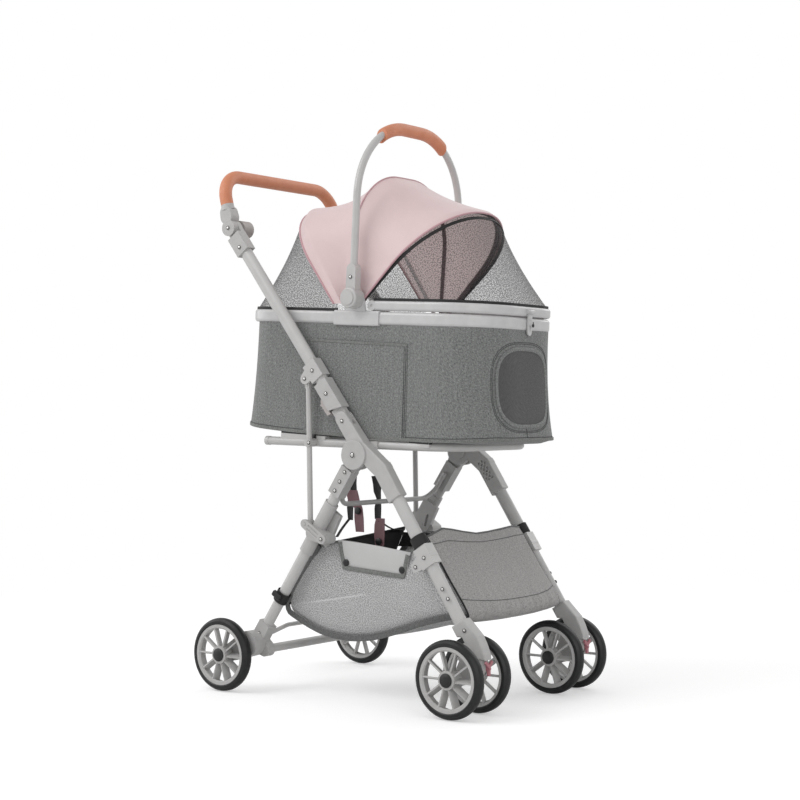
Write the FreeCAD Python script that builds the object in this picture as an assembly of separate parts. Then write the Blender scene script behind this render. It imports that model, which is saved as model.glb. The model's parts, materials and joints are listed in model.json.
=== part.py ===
"""Pet stroller: folding A-frame on six wheels with a lift-off soft carrier.

Frame of reference, in millimetres: +X forward, +Y to the stroller's left, +Z up.  The origin is
on the floor under the middle of the wheelbase.  Side pieces are built once, on the right-hand
side (y < 0), and mirrored across the plane y = 0 for the left-hand side.
"""
import FreeCAD, Part
import math
import os

from FreeCAD import Vector

os.makedirs("parts", exist_ok=True)

# ---------------------------------------------------------------- driving dimensions
WHEEL_D = 150.0            # outside diameter of every wheel
TYRE_W = 24.0              # tyre width
RIM_HALF = TYRE_W / 2 - 1.5         # half width of the rim
RIM_R = 62.0               # outside radius of the rim's bead seat
REAR_AXLE_DX = -312.6      # rear axle, measured from the hub axis
FRONT_AXLE_DX = 252.4      # front axle, trailing the swivel axis
SWIVEL_DX = 295.0          # caster swivel axis
TWIN_PITCH = 92.0          # between the two wheels of a caster
CARRIER_W = 165.0          # half width over the carrier's rails
LEG_Y = CARRIER_W + 17.5            # centre plane of the legs and handle tubes
REAR_WHEEL_Y = LEG_Y + 52.0         # centre plane of the rear wheels
HUB_Z = 490.0              # height of the axis on which the rear legs swing

UPPER_ANGLE = 52.95        # slope of the handle tubes
LOWER_ANGLE = 57.15        # slope of the front legs
REAR_ANGLE = 56.3          # slope of the rear legs
FOLD_DX, FOLD_Z = -29.5, 557.0      # fold joint of the handle, dx from the hub axis
LOWER_DX = 44.9            # front leg axis at hub height

LEG_A, LEG_B = 14.0, 10.0           # half axes of the front leg and handle tube section
REAR_A, REAR_B = 12.0, 9.5          # half axes of the rear leg section
WALL = 1.6                 # tube wall
SHELL = 2.5                # wall of a casting round a tube
CASTING_HALF = LEG_B + SHELL        # half thickness of the castings on the legs
OUTER_Y = -LEG_Y - CASTING_HALF     # outboard face of the right-hand castings
INNER_Y = -LEG_Y + CASTING_HALF     # inboard face
RIVET_R, RIVET_H = 3.7, 1.3         # rivet head: radius and height
GAP = 0.3                  # clearance between pieces that move past each other
RUN = 0.05                 # radial clearance of a pin in its hole

TRAY_TILT = 3.1            # the tray and carrier stand nose-down by this angle
TRAY_Z = HUB_Z + 25.0               # height of the tilt centre, at the hub axis

RAIL_H, RAIL_T = 26.0, 16.0         # lower rail section
LID_H, LID_T = 20.0, 14.0           # upper rail section

WHEEL_R = WHEEL_D / 2
HUB_X = -(REAR_AXLE_DX + FRONT_AXLE_DX) / 2
HUB = Vector(HUB_X, 0, HUB_Z)
FOLD = Vector(HUB_X + FOLD_DX, 0, FOLD_Z)
Y_AXIS = Vector(0, 1, 0)


# ---------------------------------------------------------------- geometry helpers
def direction(angle_deg):
    """Unit vector in the XZ plane at an angle from +X towards +Z."""
    a = math.radians(angle_deg)
    return Vector(math.cos(a), 0, math.sin(a))


UP = direction(180 - UPPER_ANGLE)           # along the handle, upwards
UP_REAR = direction(270 - UPPER_ANGLE)      # square to the handle, towards the rear
DOWN = direction(-LOWER_ANGLE)              # along the front leg, downwards
DOWN_REAR = direction(-LOWER_ANGLE - 90)    # square to the front leg, towards the rear
BACK = direction(180 + REAR_ANGLE)          # along the rear leg, downwards
BACK_REAR = direction(90 + REAR_ANGLE)      # square to the rear leg, towards the rear
LOWER_TOP = Vector(HUB_X + LOWER_DX, 0, HUB_Z)


def on_handle(along, rear=0.0):
    """Point of the handle's plane: distance up from the fold pin, distance to the rear."""
    return FOLD + UP * along + UP_REAR * rear


def on_front_leg(along, rear=0.0):
    return LOWER_TOP + DOWN * along + DOWN_REAR * rear


def on_rear_leg(along, rear=0.0):
    return HUB + BACK * along + BACK_REAR * rear


def at_y(point, y):
    return Vector(point.x, y, point.z)


def mirrored(shape):
    return shape.mirror(Vector(0, 0, 0), Y_AXIS)


def prism(face, y0, y1):
    """Extrude a face of the plane y = 0 between two values of y."""
    solid = face.copy()
    solid.translate(Vector(0, y0, 0))
    return solid.extrude(Vector(0, y1 - y0, 0))


def side_slab(face, half, y=-LEG_Y):
    """Plate of the given half thickness about a leg's centre plane."""
    return prism(face, y - half, y + half)


def polygon(points):
    return Part.Face(Part.makePolygon(list(points) + [points[0]]))


def disc(centre, radius):
    return Part.Face(Part.Wire(Part.makeCircle(radius, centre, Y_AXIS)))


def capsule(p, q, rp, rq):
    """Face bounded by two circles and their outer tangents, in the plane y = 0."""
    axis = q - p
    span = axis.Length
    base = math.atan2(axis.z, axis.x)
    spread = math.acos((rp - rq) / span)

    def rim(centre, radius, angle):
        return centre + Vector(math.cos(angle), 0, math.sin(angle)) * radius

    a1, a2 = base + spread, base - spread
    p1, p2 = rim(p, rp, a1), rim(p, rp, a2)
    q1, q2 = rim(q, rq, a1), rim(q, rq, a2)
    edges = [Part.LineSegment(p1, q1).toShape(),
             Part.Arc(q1, rim(q, rq, base), q2).toShape(),
             Part.LineSegment(q2, p2).toShape(),
             Part.Arc(p2, rim(p, rp, base + math.pi), p1).toShape()]
    return Part.Face(Part.Wire(edges))


def union(shapes):
    return shapes[0].multiFuse(shapes[1:]).removeSplitter()


def pin(centre, radius, y0, y1):
    return Part.makeCylinder(radius, y1 - y0, at_y(centre, y0), Y_AXIS)


def rivet(point, face=OUTER_Y):
    """Flat rivet head on an outboard face."""
    return pin(point, RIVET_R, face - RIVET_H, face + 0.5)


def oval_bar(start, end, half_in_plane, half_y, y=-LEG_Y):
    """Straight bar of oval section between two points of the XZ plane."""
    run = end - start
    wire = Part.Wire(Part.Ellipse(Vector(0, 0, 0), half_in_plane, half_y).toShape())
    bar = Part.Face(wire).extrude(Vector(0, 0, run.Length))
    tilt = math.degrees(math.atan2(run.x, run.z))
    bar.rotate(Vector(0, 0, 0), Y_AXIS, tilt)
    bar.translate(at_y(start, y))
    return bar


def oval_tube(start, end, half_in_plane, half_y, wall=WALL, y=-LEG_Y):
    outer = oval_bar(start, end, half_in_plane, half_y, y)
    return outer.cut(oval_bar(start, end, half_in_plane - wall, half_y - wall, y))


def bent_path(points, radii):
    """Wire of straight runs joined by tangent arcs at the inner points."""
    edges, last = [], points[0]
    for before, corner, after, radius in zip(points, points[1:], points[2:], radii):
        u, v = (before - corner).normalize(), (after - corner).normalize()
        half = u.getAngle(v) / 2
        reach = radius / math.tan(half)
        first, second = corner + u * reach, corner + v * reach
        middle = corner + (u + v).normalize() * (radius / math.sin(half) - radius)
        if (first - last).Length > 1e-6:
            edges.append(Part.LineSegment(last, first).toShape())
        edges.append(Part.Arc(first, middle, second).toShape())
        last = second
    edges.append(Part.LineSegment(last, points[-1]).toShape())
    return Part.Wire(edges)


def pipe(points, radii, radius):
    """Round bar along a bent path."""
    path = bent_path(points, radii)
    start, heading = points[0], points[1] - points[0]
    section = Part.Wire(Part.makeCircle(radius, start, heading))
    return path.makePipeShell([section], True, False)


def rounded_outline(x0, x1, half_width, rear_radius, front_radius, z):
    """Closed wire of a plan outline with round corners, at height z."""
    def corner(cx, cy, radius, from_deg):
        a = [math.radians(from_deg + k * 45) for k in range(3)]
        return [Vector(cx + radius * math.cos(t), cy + radius * math.sin(t), z) for t in a]

    fr, rr, w = front_radius, rear_radius, half_width
    arcs = [corner(x1 - fr, -(w - fr), fr, -90), corner(x1 - fr, w - fr, fr, 0),
            corner(x0 + rr, w - rr, rr, 90), corner(x0 + rr, -(w - rr), rr, 180)]
    edges = []
    for here, following in zip(arcs, arcs[1:] + arcs[:1]):
        edges.append(Part.Arc(*here).toShape())
        edges.append(Part.LineSegment(here[2], following[0]).toShape())
    return Part.Wire(edges)


def tray(shape):
    """Lean a shape drawn level over the hub axis by the tray's tilt."""
    leaned = shape.copy()
    leaned.translate(Vector(HUB_X, 0, TRAY_Z))
    leaned.rotate(Vector(HUB_X, 0, TRAY_Z), Y_AXIS, TRAY_TILT)
    return leaned


def softened(solid, radius, keep):
    """Round the edges that pass the test, by less where the full radius doesn't fit."""
    edges = [edge for edge in solid.Edges if keep(edge)]
    for share in (1.0, 0.7, 0.45):
        try:
            rounded = solid.makeFillet(radius * share, edges)
        except Part.OCCError:
            continue
        if rounded.isValid() and len(rounded.Solids) == 1:
            return rounded
    return solid


def rim_of_plate(y):
    """Test for the edges that bound a plate's face at y."""
    def on_face(edge):
        box = edge.BoundBox
        return abs(box.YMin - y) < 1e-4 and abs(box.YMax - y) < 1e-4
    return on_face


PIECES = {}


def keep_piece(name, shape):
    """Keep one clean solid under its node name."""
    solids = shape.Solids
    if len(solids) != 1:
        raise ValueError("%s came out as %d solids" % (name, len(solids)))
    PIECES[name] = solids[0]


def keep_pair(name, shape):
    keep_piece(name + "_right", shape)
    keep_piece(name + "_left", mirrored(shape))


# ---------------------------------------------------------------- front legs and hub castings
HUB_CAST_END = 100.0       # where the hub casting ends, along the front leg
FORK_START = 372.0         # where the fork head starts, along the front leg
FOLD_PIN_R = 4.0
HUB_PIN_R = 5.0
TONGUE_HALF = 6.0          # half thickness of the tongues in the two clevises
HUB_DISC_R = 29.6
FOLD_EYE_R = 15.0


def front_leg():
    """Oval tube with the two-rivet bracket and its rear ear fused on, as one riveted unit."""
    tube = oval_bar(on_front_leg(HUB_CAST_END - 18), on_front_leg(FORK_START + 18), LEG_A, LEG_B)
    bore = oval_bar(on_front_leg(HUB_CAST_END - 20), on_front_leg(FORK_START + 20),
                    LEG_A - WALL, LEG_B - WALL)
    return union([tube, front_ear()]).cut(bore)


def front_ear():
    """Moulded saddle on the front leg with a rounded ear to the rear."""
    low, high = 250.0, 208.0
    wrap = polygon([on_front_leg(low, -LEG_A - SHELL), on_front_leg(high, -LEG_A - SHELL),
                    on_front_leg(high, LEG_A + SHELL), on_front_leg(low, LEG_A + SHELL)])
    ear = capsule(on_front_leg(232), on_front_leg(236, 27), 17.0, 10.0)
    body = union([side_slab(wrap, CASTING_HALF), side_slab(ear, CASTING_HALF)])
    return union([body, rivet(on_front_leg(231)), rivet(on_front_leg(236, 27))])


def lattice_cutters(y_face, depth):
    """Diamond pockets between the crossing ribs of the hub casting's inboard face."""
    pitch, half = 9.5, 3.4
    cutters = []
    for row in range(8):
        for column in range(3):
            shift = pitch / 2 if row % 2 else 0.0
            rear = (column - 1) * pitch + shift - pitch / 4
            along = 26 + row * pitch * 0.62
            if abs(rear) > LEG_A - half:
                continue
            centre = on_front_leg(along, rear)
            tips = [centre + DOWN * half, centre + DOWN_REAR * half,
                    centre - DOWN * half, centre - DOWN_REAR * half]
            cutters.append(prism(polygon(tips), y_face - depth, y_face + 1))
    return cutters


def hub_casting():
    """Casting that joins the handle's fold clevis, the rear leg's clevis and the front leg socket."""
    knee = Vector(HUB_X + 12, 0, HUB_Z + 12)
    upper = capsule(on_handle(6), knee, FOLD_EYE_R, 17.0)
    middle = capsule(knee, on_front_leg(34), 17.0, LEG_A + SHELL + 0.6)
    lower = polygon([on_front_leg(26, -LEG_A - SHELL), on_front_leg(HUB_CAST_END, -LEG_A - SHELL),
                     on_front_leg(HUB_CAST_END, LEG_A + SHELL), on_front_leg(26, LEG_A + SHELL)])
    body = union([side_slab(face, CASTING_HALF) for face in (upper, middle, lower)]
                 + [side_slab(disc(HUB, HUB_DISC_R), CASTING_HALF)])
    body = softened(body, 3.0, lambda e: rim_of_plate(OUTER_Y)(e) or rim_of_plate(INNER_Y)(e))
    # slot of the fold clevis, open to the rear and to the top
    slot_reach = 60.0
    slot = polygon([on_handle(slot_reach, -22), on_handle(slot_reach, 60), on_handle(-24, 60),
                    on_handle(-24, 8), on_handle(-16, -22)])
    # slot of the rear leg clevis: the sector that the rear leg's neck sweeps
    sector = [HUB + direction(a) * 60.0 for a in (140, 180, 220, 260, 300, 325)]
    swing = polygon([HUB + direction(50) * 12.0] + sector)
    tongue_room = TONGUE_HALF + GAP
    cutters = [side_slab(slot, tongue_room), side_slab(swing, tongue_room),
               side_slab(disc(HUB, 24.0 + GAP), tongue_room),
               oval_bar(on_front_leg(HUB_CAST_END - 18), on_front_leg(HUB_CAST_END + 20), LEG_A, LEG_B)]
    body = body.cut(cutters)
    extras = [pin(FOLD, FOLD_PIN_R, OUTER_Y - 1.5, INNER_Y + 1.0),
              pin(HUB, HUB_PIN_R, OUTER_Y - 6.0, INNER_Y + 3.0),
              softened(pin(HUB, HUB_DISC_R, OUTER_Y - 4.0, OUTER_Y), 1.5,
                       rim_of_plate(OUTER_Y - 4.0)),
              pin(HUB, 17.0, INNER_Y, INNER_Y + 3.0)]
    body = union([body] + extras)
    pockets = lattice_cutters(INNER_Y, 3.0)
    return body.cut(pockets)


# ---------------------------------------------------------------- handle
KNUCKLE_START, KNUCKLE_END = 24.0, 98.0
HANDLE_START, HANDLE_END = 86.0, 452.0
TRIGGER_PIVOT = on_handle(68.5, 0)
TRIGGER_HALF = 8.0
TRIGGER_PIN_R = 2.5
ROD_PIN = on_handle(126.0, 25.8)
ROD_PIN_R = 3.0
TILT_ALONG = 505.0
TILT = on_handle(TILT_ALONG)
TILT_PIN_R = 5.0


def fold_knuckle():
    """Upper half of the fold joint: tongue, body with a trigger slot, and tube socket."""
    w = LEG_A + SHELL
    body_face = polygon([on_handle(KNUCKLE_START, -w), on_handle(KNUCKLE_END, -w),
                         on_handle(KNUCKLE_END, w), on_handle(KNUCKLE_START + 14, w)])
    body = side_slab(body_face, CASTING_HALF)
    tongue = side_slab(capsule(FOLD, on_handle(40), 13.0, 15.0), TONGUE_HALF)
    body = union([body, tongue])
    trigger_slot = polygon([on_handle(34, 4), on_handle(78, 4), on_handle(78, 40), on_handle(34, 40)])
    trigger_eye = capsule(TRIGGER_PIVOT, on_handle(68.5, 30), 9.0, 9.0)
    body = body.cut([side_slab(trigger_slot, TRIGGER_HALF + GAP),
                     side_slab(trigger_eye, TRIGGER_HALF + GAP),
                     pin(FOLD, FOLD_PIN_R + RUN, -LEG_Y - 20, -LEG_Y + 20),
                     oval_bar(on_handle(HANDLE_START), on_handle(KNUCKLE_END + 5), LEG_A, LEG_B)])
    cross_pin = pin(TRIGGER_PIVOT, TRIGGER_PIN_R, OUTER_Y - RIVET_H, INNER_Y + RIVET_H)
    return union([body, cross_pin])


def latch_trigger():
    """Finger trigger behind the fold joint, on its own cross pin."""
    grip = polygon([on_handle(31, 17.5), on_handle(60, 17.5), on_handle(62, 29), on_handle(33, 26.5)])
    arm = capsule(TRIGGER_PIVOT, on_handle(62, 18), 7.0, 7.0)
    lever = union([side_slab(grip, TRIGGER_HALF), side_slab(arm, TRIGGER_HALF)])
    ridges = [prism(disc(on_handle(37 + k * 6, 29.4), 2.6), -LEG_Y - 10, -LEG_Y + 10) for k in range(4)]
    lever = lever.cut(ridges)
    return lever.cut(pin(TRIGGER_PIVOT, TRIGGER_PIN_R + RUN, -LEG_Y - 20, -LEG_Y + 20))


def rod_bracket():
    """Saddle riveted on the handle tube, with a forked rear ear for the fold rod's eye."""
    w = LEG_A + SHELL
    wrap = polygon([on_handle(106, -w), on_handle(147, -w), on_handle(147, w), on_handle(106, w)])
    ear = capsule(on_handle(128, 0), ROD_PIN, 16.0, 11.0)
    body = union([side_slab(wrap, CASTING_HALF), side_slab(ear, CASTING_HALF)])
    rod_room = polygon([on_handle(90, 16.7), on_handle(150, 16.7), on_handle(150, 60), on_handle(90, 60)])
    body = body.cut(side_slab(rod_room, ROD_EYE_HALF + GAP))
    rod_pin = pin(ROD_PIN, ROD_PIN_R, OUTER_Y, INNER_Y)
    return union([body, rod_pin, rivet(ROD_PIN), rivet(on_handle(127))])


def handle_tube():
    """Oval tube of the handle with its riveted rod bracket."""
    tube = oval_bar(on_handle(HANDLE_START), on_handle(HANDLE_END), LEG_A, LEG_B)
    bore = oval_bar(on_handle(HANDLE_START - 2), on_handle(HANDLE_END + 2), LEG_A - WALL, LEG_B - WALL)
    return union([tube, rod_bracket()]).cut(bore)


SOCKET_START = 438.0       # lower end of the tilt socket
GRIP_EYE_R = 17.0
STUB_R = 13.0              # stub that carries the tilt button


def tilt_socket():
    """Socket on the handle's top end: one outer cheek, with the stub that carries the button."""
    w = LEG_A + SHELL
    sleeve = polygon([on_handle(SOCKET_START, -w), on_handle(TILT_ALONG - 21, -w),
                      on_handle(TILT_ALONG - 21, w), on_handle(SOCKET_START, w)])
    body = side_slab(sleeve, CASTING_HALF)
    neck = prism(capsule(on_handle(TILT_ALONG - 30), TILT, 15.0, GRIP_EYE_R),
                 -LEG_Y + 1.0, -LEG_Y + CASTING_HALF)
    body = union([body, neck])
    body = body.cut(oval_bar(on_handle(SOCKET_START - 5), on_handle(HANDLE_END), LEG_A, LEG_B))
    tilt_pin = pin(TILT, TILT_PIN_R, OUTER_Y, -LEG_Y + 2)
    stub = pin(TILT, STUB_R, INNER_Y, INNER_Y + 22)
    return union([body, tilt_pin, stub, rivet(on_handle(SOCKET_START + 14))])


BUTTON_R = 18.0
BUTTON_IN = INNER_Y + 7.0     # rim of the button, one press clear of the socket
BUTTON_OUT = -LEG_Y + 51.0


def tilt_button():
    """Large round push button on the inboard side of the tilt joint: a cup over the stub."""
    cup = pin(TILT, BUTTON_R, BUTTON_IN, BUTTON_OUT)
    cup = softened(cup, 3.0, rim_of_plate(BUTTON_OUT))
    return cup.cut(pin(TILT, STUB_R + GAP, BUTTON_IN - 1, BUTTON_OUT - 4.0))


# ---------------------------------------------------------------- grip
GRIP_LEAN = 104.7          # slope of the grip's plane
GRIP_REACH = 119.0         # from the tilt pin to the cross bar
GRIP_BEND = 55.0
GRIP_TUBE_R = 11.0
GRIP_WRAP_R = 13.5
GRIP_WRAP_START = 52.0
GRIP_UP = direction(GRIP_LEAN)


def grip_point(along, y):
    point = TILT + GRIP_UP * along
    return Vector(point.x, y, point.z)


def grip_run(radius, start):
    points = [grip_point(start, -LEG_Y), grip_point(GRIP_REACH, -LEG_Y),
              grip_point(GRIP_REACH, LEG_Y), grip_point(start, LEG_Y)]
    return pipe(points, [GRIP_BEND, GRIP_BEND], radius)


def grip_frame():
    """Inner tube of the grip with its two forked knuckles."""
    tube = grip_run(GRIP_TUBE_R, 40.0)
    eye = prism(disc(TILT, GRIP_EYE_R), -LEG_Y - CASTING_HALF, -LEG_Y + 1.0 - GAP)
    root = TILT + GRIP_UP * 34.0
    arm = prism(capsule(TILT + GRIP_UP * 24.0, root, 15.0, 14.0),
                -LEG_Y - CASTING_HALF, -LEG_Y + CASTING_HALF)
    arm = arm.cut(prism(disc(TILT, GRIP_EYE_R + GAP), -LEG_Y + 1.0 - GAP, -LEG_Y + 20))
    knuckle = union([eye, arm])
    collar = Part.makeCone(14.5, 13.4, GRIP_WRAP_START - 40.0,
                           grip_point(40.0, -LEG_Y), GRIP_UP)
    knuckle = union([knuckle, collar])
    bore = pin(TILT, TILT_PIN_R + RUN, -LEG_Y - 30, -LEG_Y + 30)
    knuckle = knuckle.cut(bore)
    return union([tube, knuckle, mirrored(knuckle)])


def grip_leather():
    """Stitched wrap over the tube, from one knuckle round to the other."""
    return grip_run(GRIP_WRAP_R, GRIP_WRAP_START).cut(grip_run(GRIP_TUBE_R, GRIP_WRAP_START - 2))


# ---------------------------------------------------------------- rear legs
REAR_KNUCKLE_START, REAR_KNUCKLE_END = 33.0, 96.0
REAR_TUBE_START, REAR_TUBE_END = 78.0, 436.0
FOOT_START = 420.0
BRACE_ALONG = 122.0
BRACE_R = 5.0
REAR_CROSS = Vector(HUB_X - 240.0, 0, WHEEL_R + 11.0)
BRAKE_PIVOT = REAR_CROSS + Vector(0, 0, 33.0)
BRAKE_R = 4.5


def rear_leg():
    return oval_tube(on_rear_leg(REAR_TUBE_START), on_rear_leg(REAR_TUBE_END), REAR_A, REAR_B)


def rear_knuckle():
    """Casting at the rear leg's top: round tongue between the hub's cheeks, and tube socket."""
    w = REAR_A + SHELL
    body_face = polygon([on_rear_leg(REAR_KNUCKLE_START, -w), on_rear_leg(REAR_KNUCKLE_START, w),
                         on_rear_leg(REAR_KNUCKLE_END, w), on_rear_leg(REAR_KNUCKLE_END, -w)])
    body = side_slab(body_face, CASTING_HALF)
    tongue = side_slab(capsule(HUB, on_rear_leg(42), 24.0, 13.0), TONGUE_HALF)
    body = union([body, tongue])
    body = body.cut([pin(HUB, HUB_PIN_R + RUN, -LEG_Y - 20, -LEG_Y + 20),
                     oval_bar(on_rear_leg(REAR_TUBE_START), on_rear_leg(REAR_KNUCKLE_END + 5),
                              REAR_A, REAR_B)])
    return union([body] + [rivet(on_rear_leg(d)) for d in (41.0, 64.0, 86.0)])


def brace_bar():
    """Bent bar that ties the two rear knuckles together from their inboard faces."""
    y = INNER_Y + BRACE_R
    points = [at_y(on_rear_leg(56), y), at_y(on_rear_leg(BRACE_ALONG), y),
              at_y(on_rear_leg(BRACE_ALONG), -y), at_y(on_rear_leg(56), -y)]
    return pipe(points, [38.0, 38.0], BRACE_R)


AXLE = Vector(HUB_X + REAR_AXLE_DX, 0, WHEEL_R)
AXLE_R = 5.0
FOOT_OUT = -(REAR_WHEEL_Y - TYRE_W / 2 - 4.0)


def rear_foot():
    """Casting at the rear leg's bottom: tube socket, wheel arm, cross tube boss, fixed axle."""
    w = REAR_A + SHELL
    sleeve = polygon([on_rear_leg(FOOT_START, -w), on_rear_leg(FOOT_START, w),
                      on_rear_leg(474, w), on_rear_leg(474, -w)])
    socket = side_slab(sleeve, CASTING_HALF)
    arm_root = on_rear_leg(470)
    arm = prism(capsule(arm_root, AXLE, 26.0, 17.0), FOOT_OUT, -LEG_Y + 6.0)
    toe = prism(capsule(arm_root, REAR_CROSS, 20.0, 15.0), -LEG_Y - 6.0, INNER_Y)
    body = union([socket, arm, toe])
    body = body.cut([oval_bar(on_rear_leg(FOOT_START - 5), on_rear_leg(REAR_TUBE_END), REAR_A, REAR_B),
                     pin(BRAKE_PIVOT, BRAKE_R + RUN, INNER_Y - 8, INNER_Y + 2)])
    axle = pin(AXLE, AXLE_R, -REAR_WHEEL_Y - TYRE_W / 2 + 2.0, FOOT_OUT)
    spacer = pin(AXLE, 10.0, -REAR_WHEEL_Y + RIM_HALF + GAP, FOOT_OUT)
    return union([body, axle, spacer, rivet(on_rear_leg(445))])


def rear_cross_tube():
    outer = Part.Face(Part.Wire(Part.Ellipse(Vector(0, 0, 0), 9.0, 6.0).toShape()))
    inner = Part.Face(Part.Wire(Part.Ellipse(Vector(0, 0, 0), 7.6, 4.6).toShape()))
    tube = outer.cut(inner).extrude(Vector(0, 0, 2 * -INNER_Y))
    tube.rotate(Vector(0, 0, 0), Vector(1, 0, 0), -90)
    tube.rotate(Vector(0, 0, 0), Y_AXIS, 60)
    tube.translate(at_y(REAR_CROSS, INNER_Y))
    return tube


def brake_bar():
    """Foot bar whose ends turn in the two rear feet."""
    lift = Vector(10.0, 0, 12.0)
    y = INNER_Y - 6.0
    points = [at_y(BRAKE_PIVOT, y), at_y(BRAKE_PIVOT, y + 16), at_y(BRAKE_PIVOT + lift, y + 52),
              at_y(BRAKE_PIVOT + lift, -y - 52), at_y(BRAKE_PIVOT, -y - 16), at_y(BRAKE_PIVOT, -y)]
    return pipe(points, [20.0, 30.0, 30.0, 20.0], BRAKE_R)


# ---------------------------------------------------------------- fold linkage
ROD_FOOT = HUB + Vector(-121.0, 0, -140.0)
LINK_PIVOT = HUB + Vector(-77.0, 0, -169.0)
ROD_R = 5.5
ROD_EYE_HALF = 4.8         # the rod's ends are flattened round their pins
SLIDER_TOP, SLIDER_BOTTOM = 117.0, 238.0
SLIDER_SHELL = 3.0
LINK_IN = -LEG_Y - REAR_B - SLIDER_SHELL - 3.0


def fold_slider():
    """Sleeve that runs on the rear leg, with its inboard gusset, front lobe and rod link."""
    a, b = REAR_A + SLIDER_SHELL, REAR_B + SLIDER_SHELL
    sleeve = oval_bar(on_rear_leg(SLIDER_TOP), on_rear_leg(SLIDER_BOTTOM), a, b)
    inner = -LEG_Y + REAR_B
    gusset = prism(polygon([on_rear_leg(132, 14), on_rear_leg(132, -26), on_rear_leg(172, -30),
                            on_rear_leg(206, -30), on_rear_leg(206, -6), on_rear_leg(176, 14)]),
                   inner, inner + 9.0)
    lobe = prism(capsule(LINK_PIVOT, on_rear_leg(190), 11.0, 15.0), LINK_IN, inner + 4.0)
    plate = prism(capsule(ROD_FOOT, LINK_PIVOT, 9.0, 10.0), LINK_IN - 5.0, LINK_IN)
    grooves = [prism(capsule(ROD_FOOT + (LINK_PIVOT - ROD_FOOT) * 0.22 + side,
                             LINK_PIVOT + (ROD_FOOT - LINK_PIVOT) * 0.22 + side, 1.5, 1.5),
                     LINK_IN - 6.0, LINK_IN - 3.6)
               for side in (BACK * 3.6, BACK * -3.6)]
    rivets = [rivet(p, LINK_IN - 5.0) for p in (ROD_FOOT, LINK_PIVOT)]
    window = prism(capsule(on_rear_leg(160, -14), on_rear_leg(180, -20), 3.0, 3.0), inner + 4, inner + 12)
    body = union([sleeve, gusset, lobe, plate.cut(grooves)] + rivets)
    room = oval_bar(on_rear_leg(SLIDER_TOP - 9), on_rear_leg(SLIDER_BOTTOM + 9),
                    REAR_A + GAP, REAR_B + GAP)
    return body.cut([room, window])


def fold_rod():
    """Round rod from the handle bracket to the slider, with a flat eye at each end."""
    run = (ROD_FOOT - ROD_PIN).normalize()
    shank = Part.makeCylinder(ROD_R, (ROD_FOOT - ROD_PIN).Length - 14.0,
                              at_y(ROD_PIN + run * 12.0, -LEG_Y), run)
    top_eye = side_slab(capsule(ROD_PIN, ROD_PIN + run * 16.0, 8.0, 5.6), ROD_EYE_HALF)
    foot_eye = prism(disc(ROD_FOOT, 8.0), LINK_IN + GAP, -LEG_Y + ROD_EYE_HALF)
    rest = ROD_PIN + run * 129.0
    saddle = prism(disc(rest, 8.5), -LEG_Y - ROD_R - 2.0, -TRAY_OUT - GAP)
    body = union([shank, top_eye, foot_eye, saddle, rivet(rest, -LEG_Y - ROD_R - 2.0)])
    return body.cut(pin(ROD_PIN, ROD_PIN_R + RUN, -LEG_Y - 20, -LEG_Y + 20))


# ---------------------------------------------------------------- casters and wheels
FORK_BOTTOM_Z = 111.0
SWIVEL = Vector(HUB_X + SWIVEL_DX, 0, 0)
STEM_R = 6.5
STEM_H = 19.0
NECK_R = 11.0              # neck of the yoke under the fork head
FRONT_AXLE = Vector(HUB_X + FRONT_AXLE_DX, 0, WHEEL_R)


def fork_head():
    """Casting at the front leg's bottom that turns the slope into the upright swivel bearing."""
    w = LEG_A + SHELL
    top = [on_front_leg(FORK_START, w), on_front_leg(FORK_START, -w)]
    front = [SWIVEL + Vector(-3, 0, 156), SWIVEL + Vector(6.5, 0, 138), SWIVEL + Vector(13, 0, 121)]
    sole = [SWIVEL + Vector(14, 0, FORK_BOTTOM_Z), SWIVEL + Vector(-12.5, 0, FORK_BOTTOM_Z)]
    heel = [SWIVEL + Vector(-31, 0, 138), SWIVEL + Vector(-38, 0, 150), on_front_leg(FORK_START + 22, w)]
    body = side_slab(polygon(top + front + sole + heel), CASTING_HALF)
    body = softened(body, 3.0, lambda e: rim_of_plate(OUTER_Y)(e) or rim_of_plate(INNER_Y)(e))
    socket = oval_bar(on_front_leg(FORK_START - 5), on_front_leg(FORK_START + 18), LEG_A, LEG_B)
    bore = Part.makeCylinder(STEM_R + RUN, STEM_H + 2.0, Vector(SWIVEL.x, -LEG_Y, FORK_BOTTOM_Z - 1))
    return union([body, rivet(on_front_leg(FORK_START + 20.5, -7))]).cut([socket, bore])


LEVER_HALF = 3.2           # half width of the lever's eye and of its slot in the yoke


def caster_yoke():
    """Block between the twin wheels with the swivel stem and the axle bore."""
    face = FORK_BOTTOM_Z - GAP
    neck = Part.makeCylinder(NECK_R, 22.0, Vector(SWIVEL.x, -LEG_Y, face - 22.0))
    stem = Part.makeCylinder(STEM_R, STEM_H - 2.0, Vector(SWIVEL.x, -LEG_Y, face))
    arm = side_slab(capsule(Vector(SWIVEL.x - 2, 0, 90.0), FRONT_AXLE, 11.0, 16.0), 13.0)
    guard = side_slab(capsule(FRONT_AXLE, FRONT_AXLE + Vector(10, 0, 38), 16.0, 9.0), 9.0)
    body = union([neck, stem, arm, guard])
    lever_room = prism(polygon([SWIVEL + Vector(2.5, 0, 70), SWIVEL + Vector(2.5, 0, 106),
                                SWIVEL + Vector(30, 0, 106), SWIVEL + Vector(30, 0, 70)]),
                       -LEG_Y - LEVER_HALF - GAP, -LEG_Y + LEVER_HALF + GAP)
    body = body.cut([pin(FRONT_AXLE, AXLE_TUBE_R + RUN, -LEG_Y - 20, -LEG_Y + 20), lever_room])
    return union([body, pin(LEVER_PIVOT, 1.8, -LEG_Y - 7, -LEG_Y + 7)])


AXLE_TUBE_R = 7.0
LEVER_PIVOT = SWIVEL + Vector(7.0, 0, 95.0)


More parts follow.
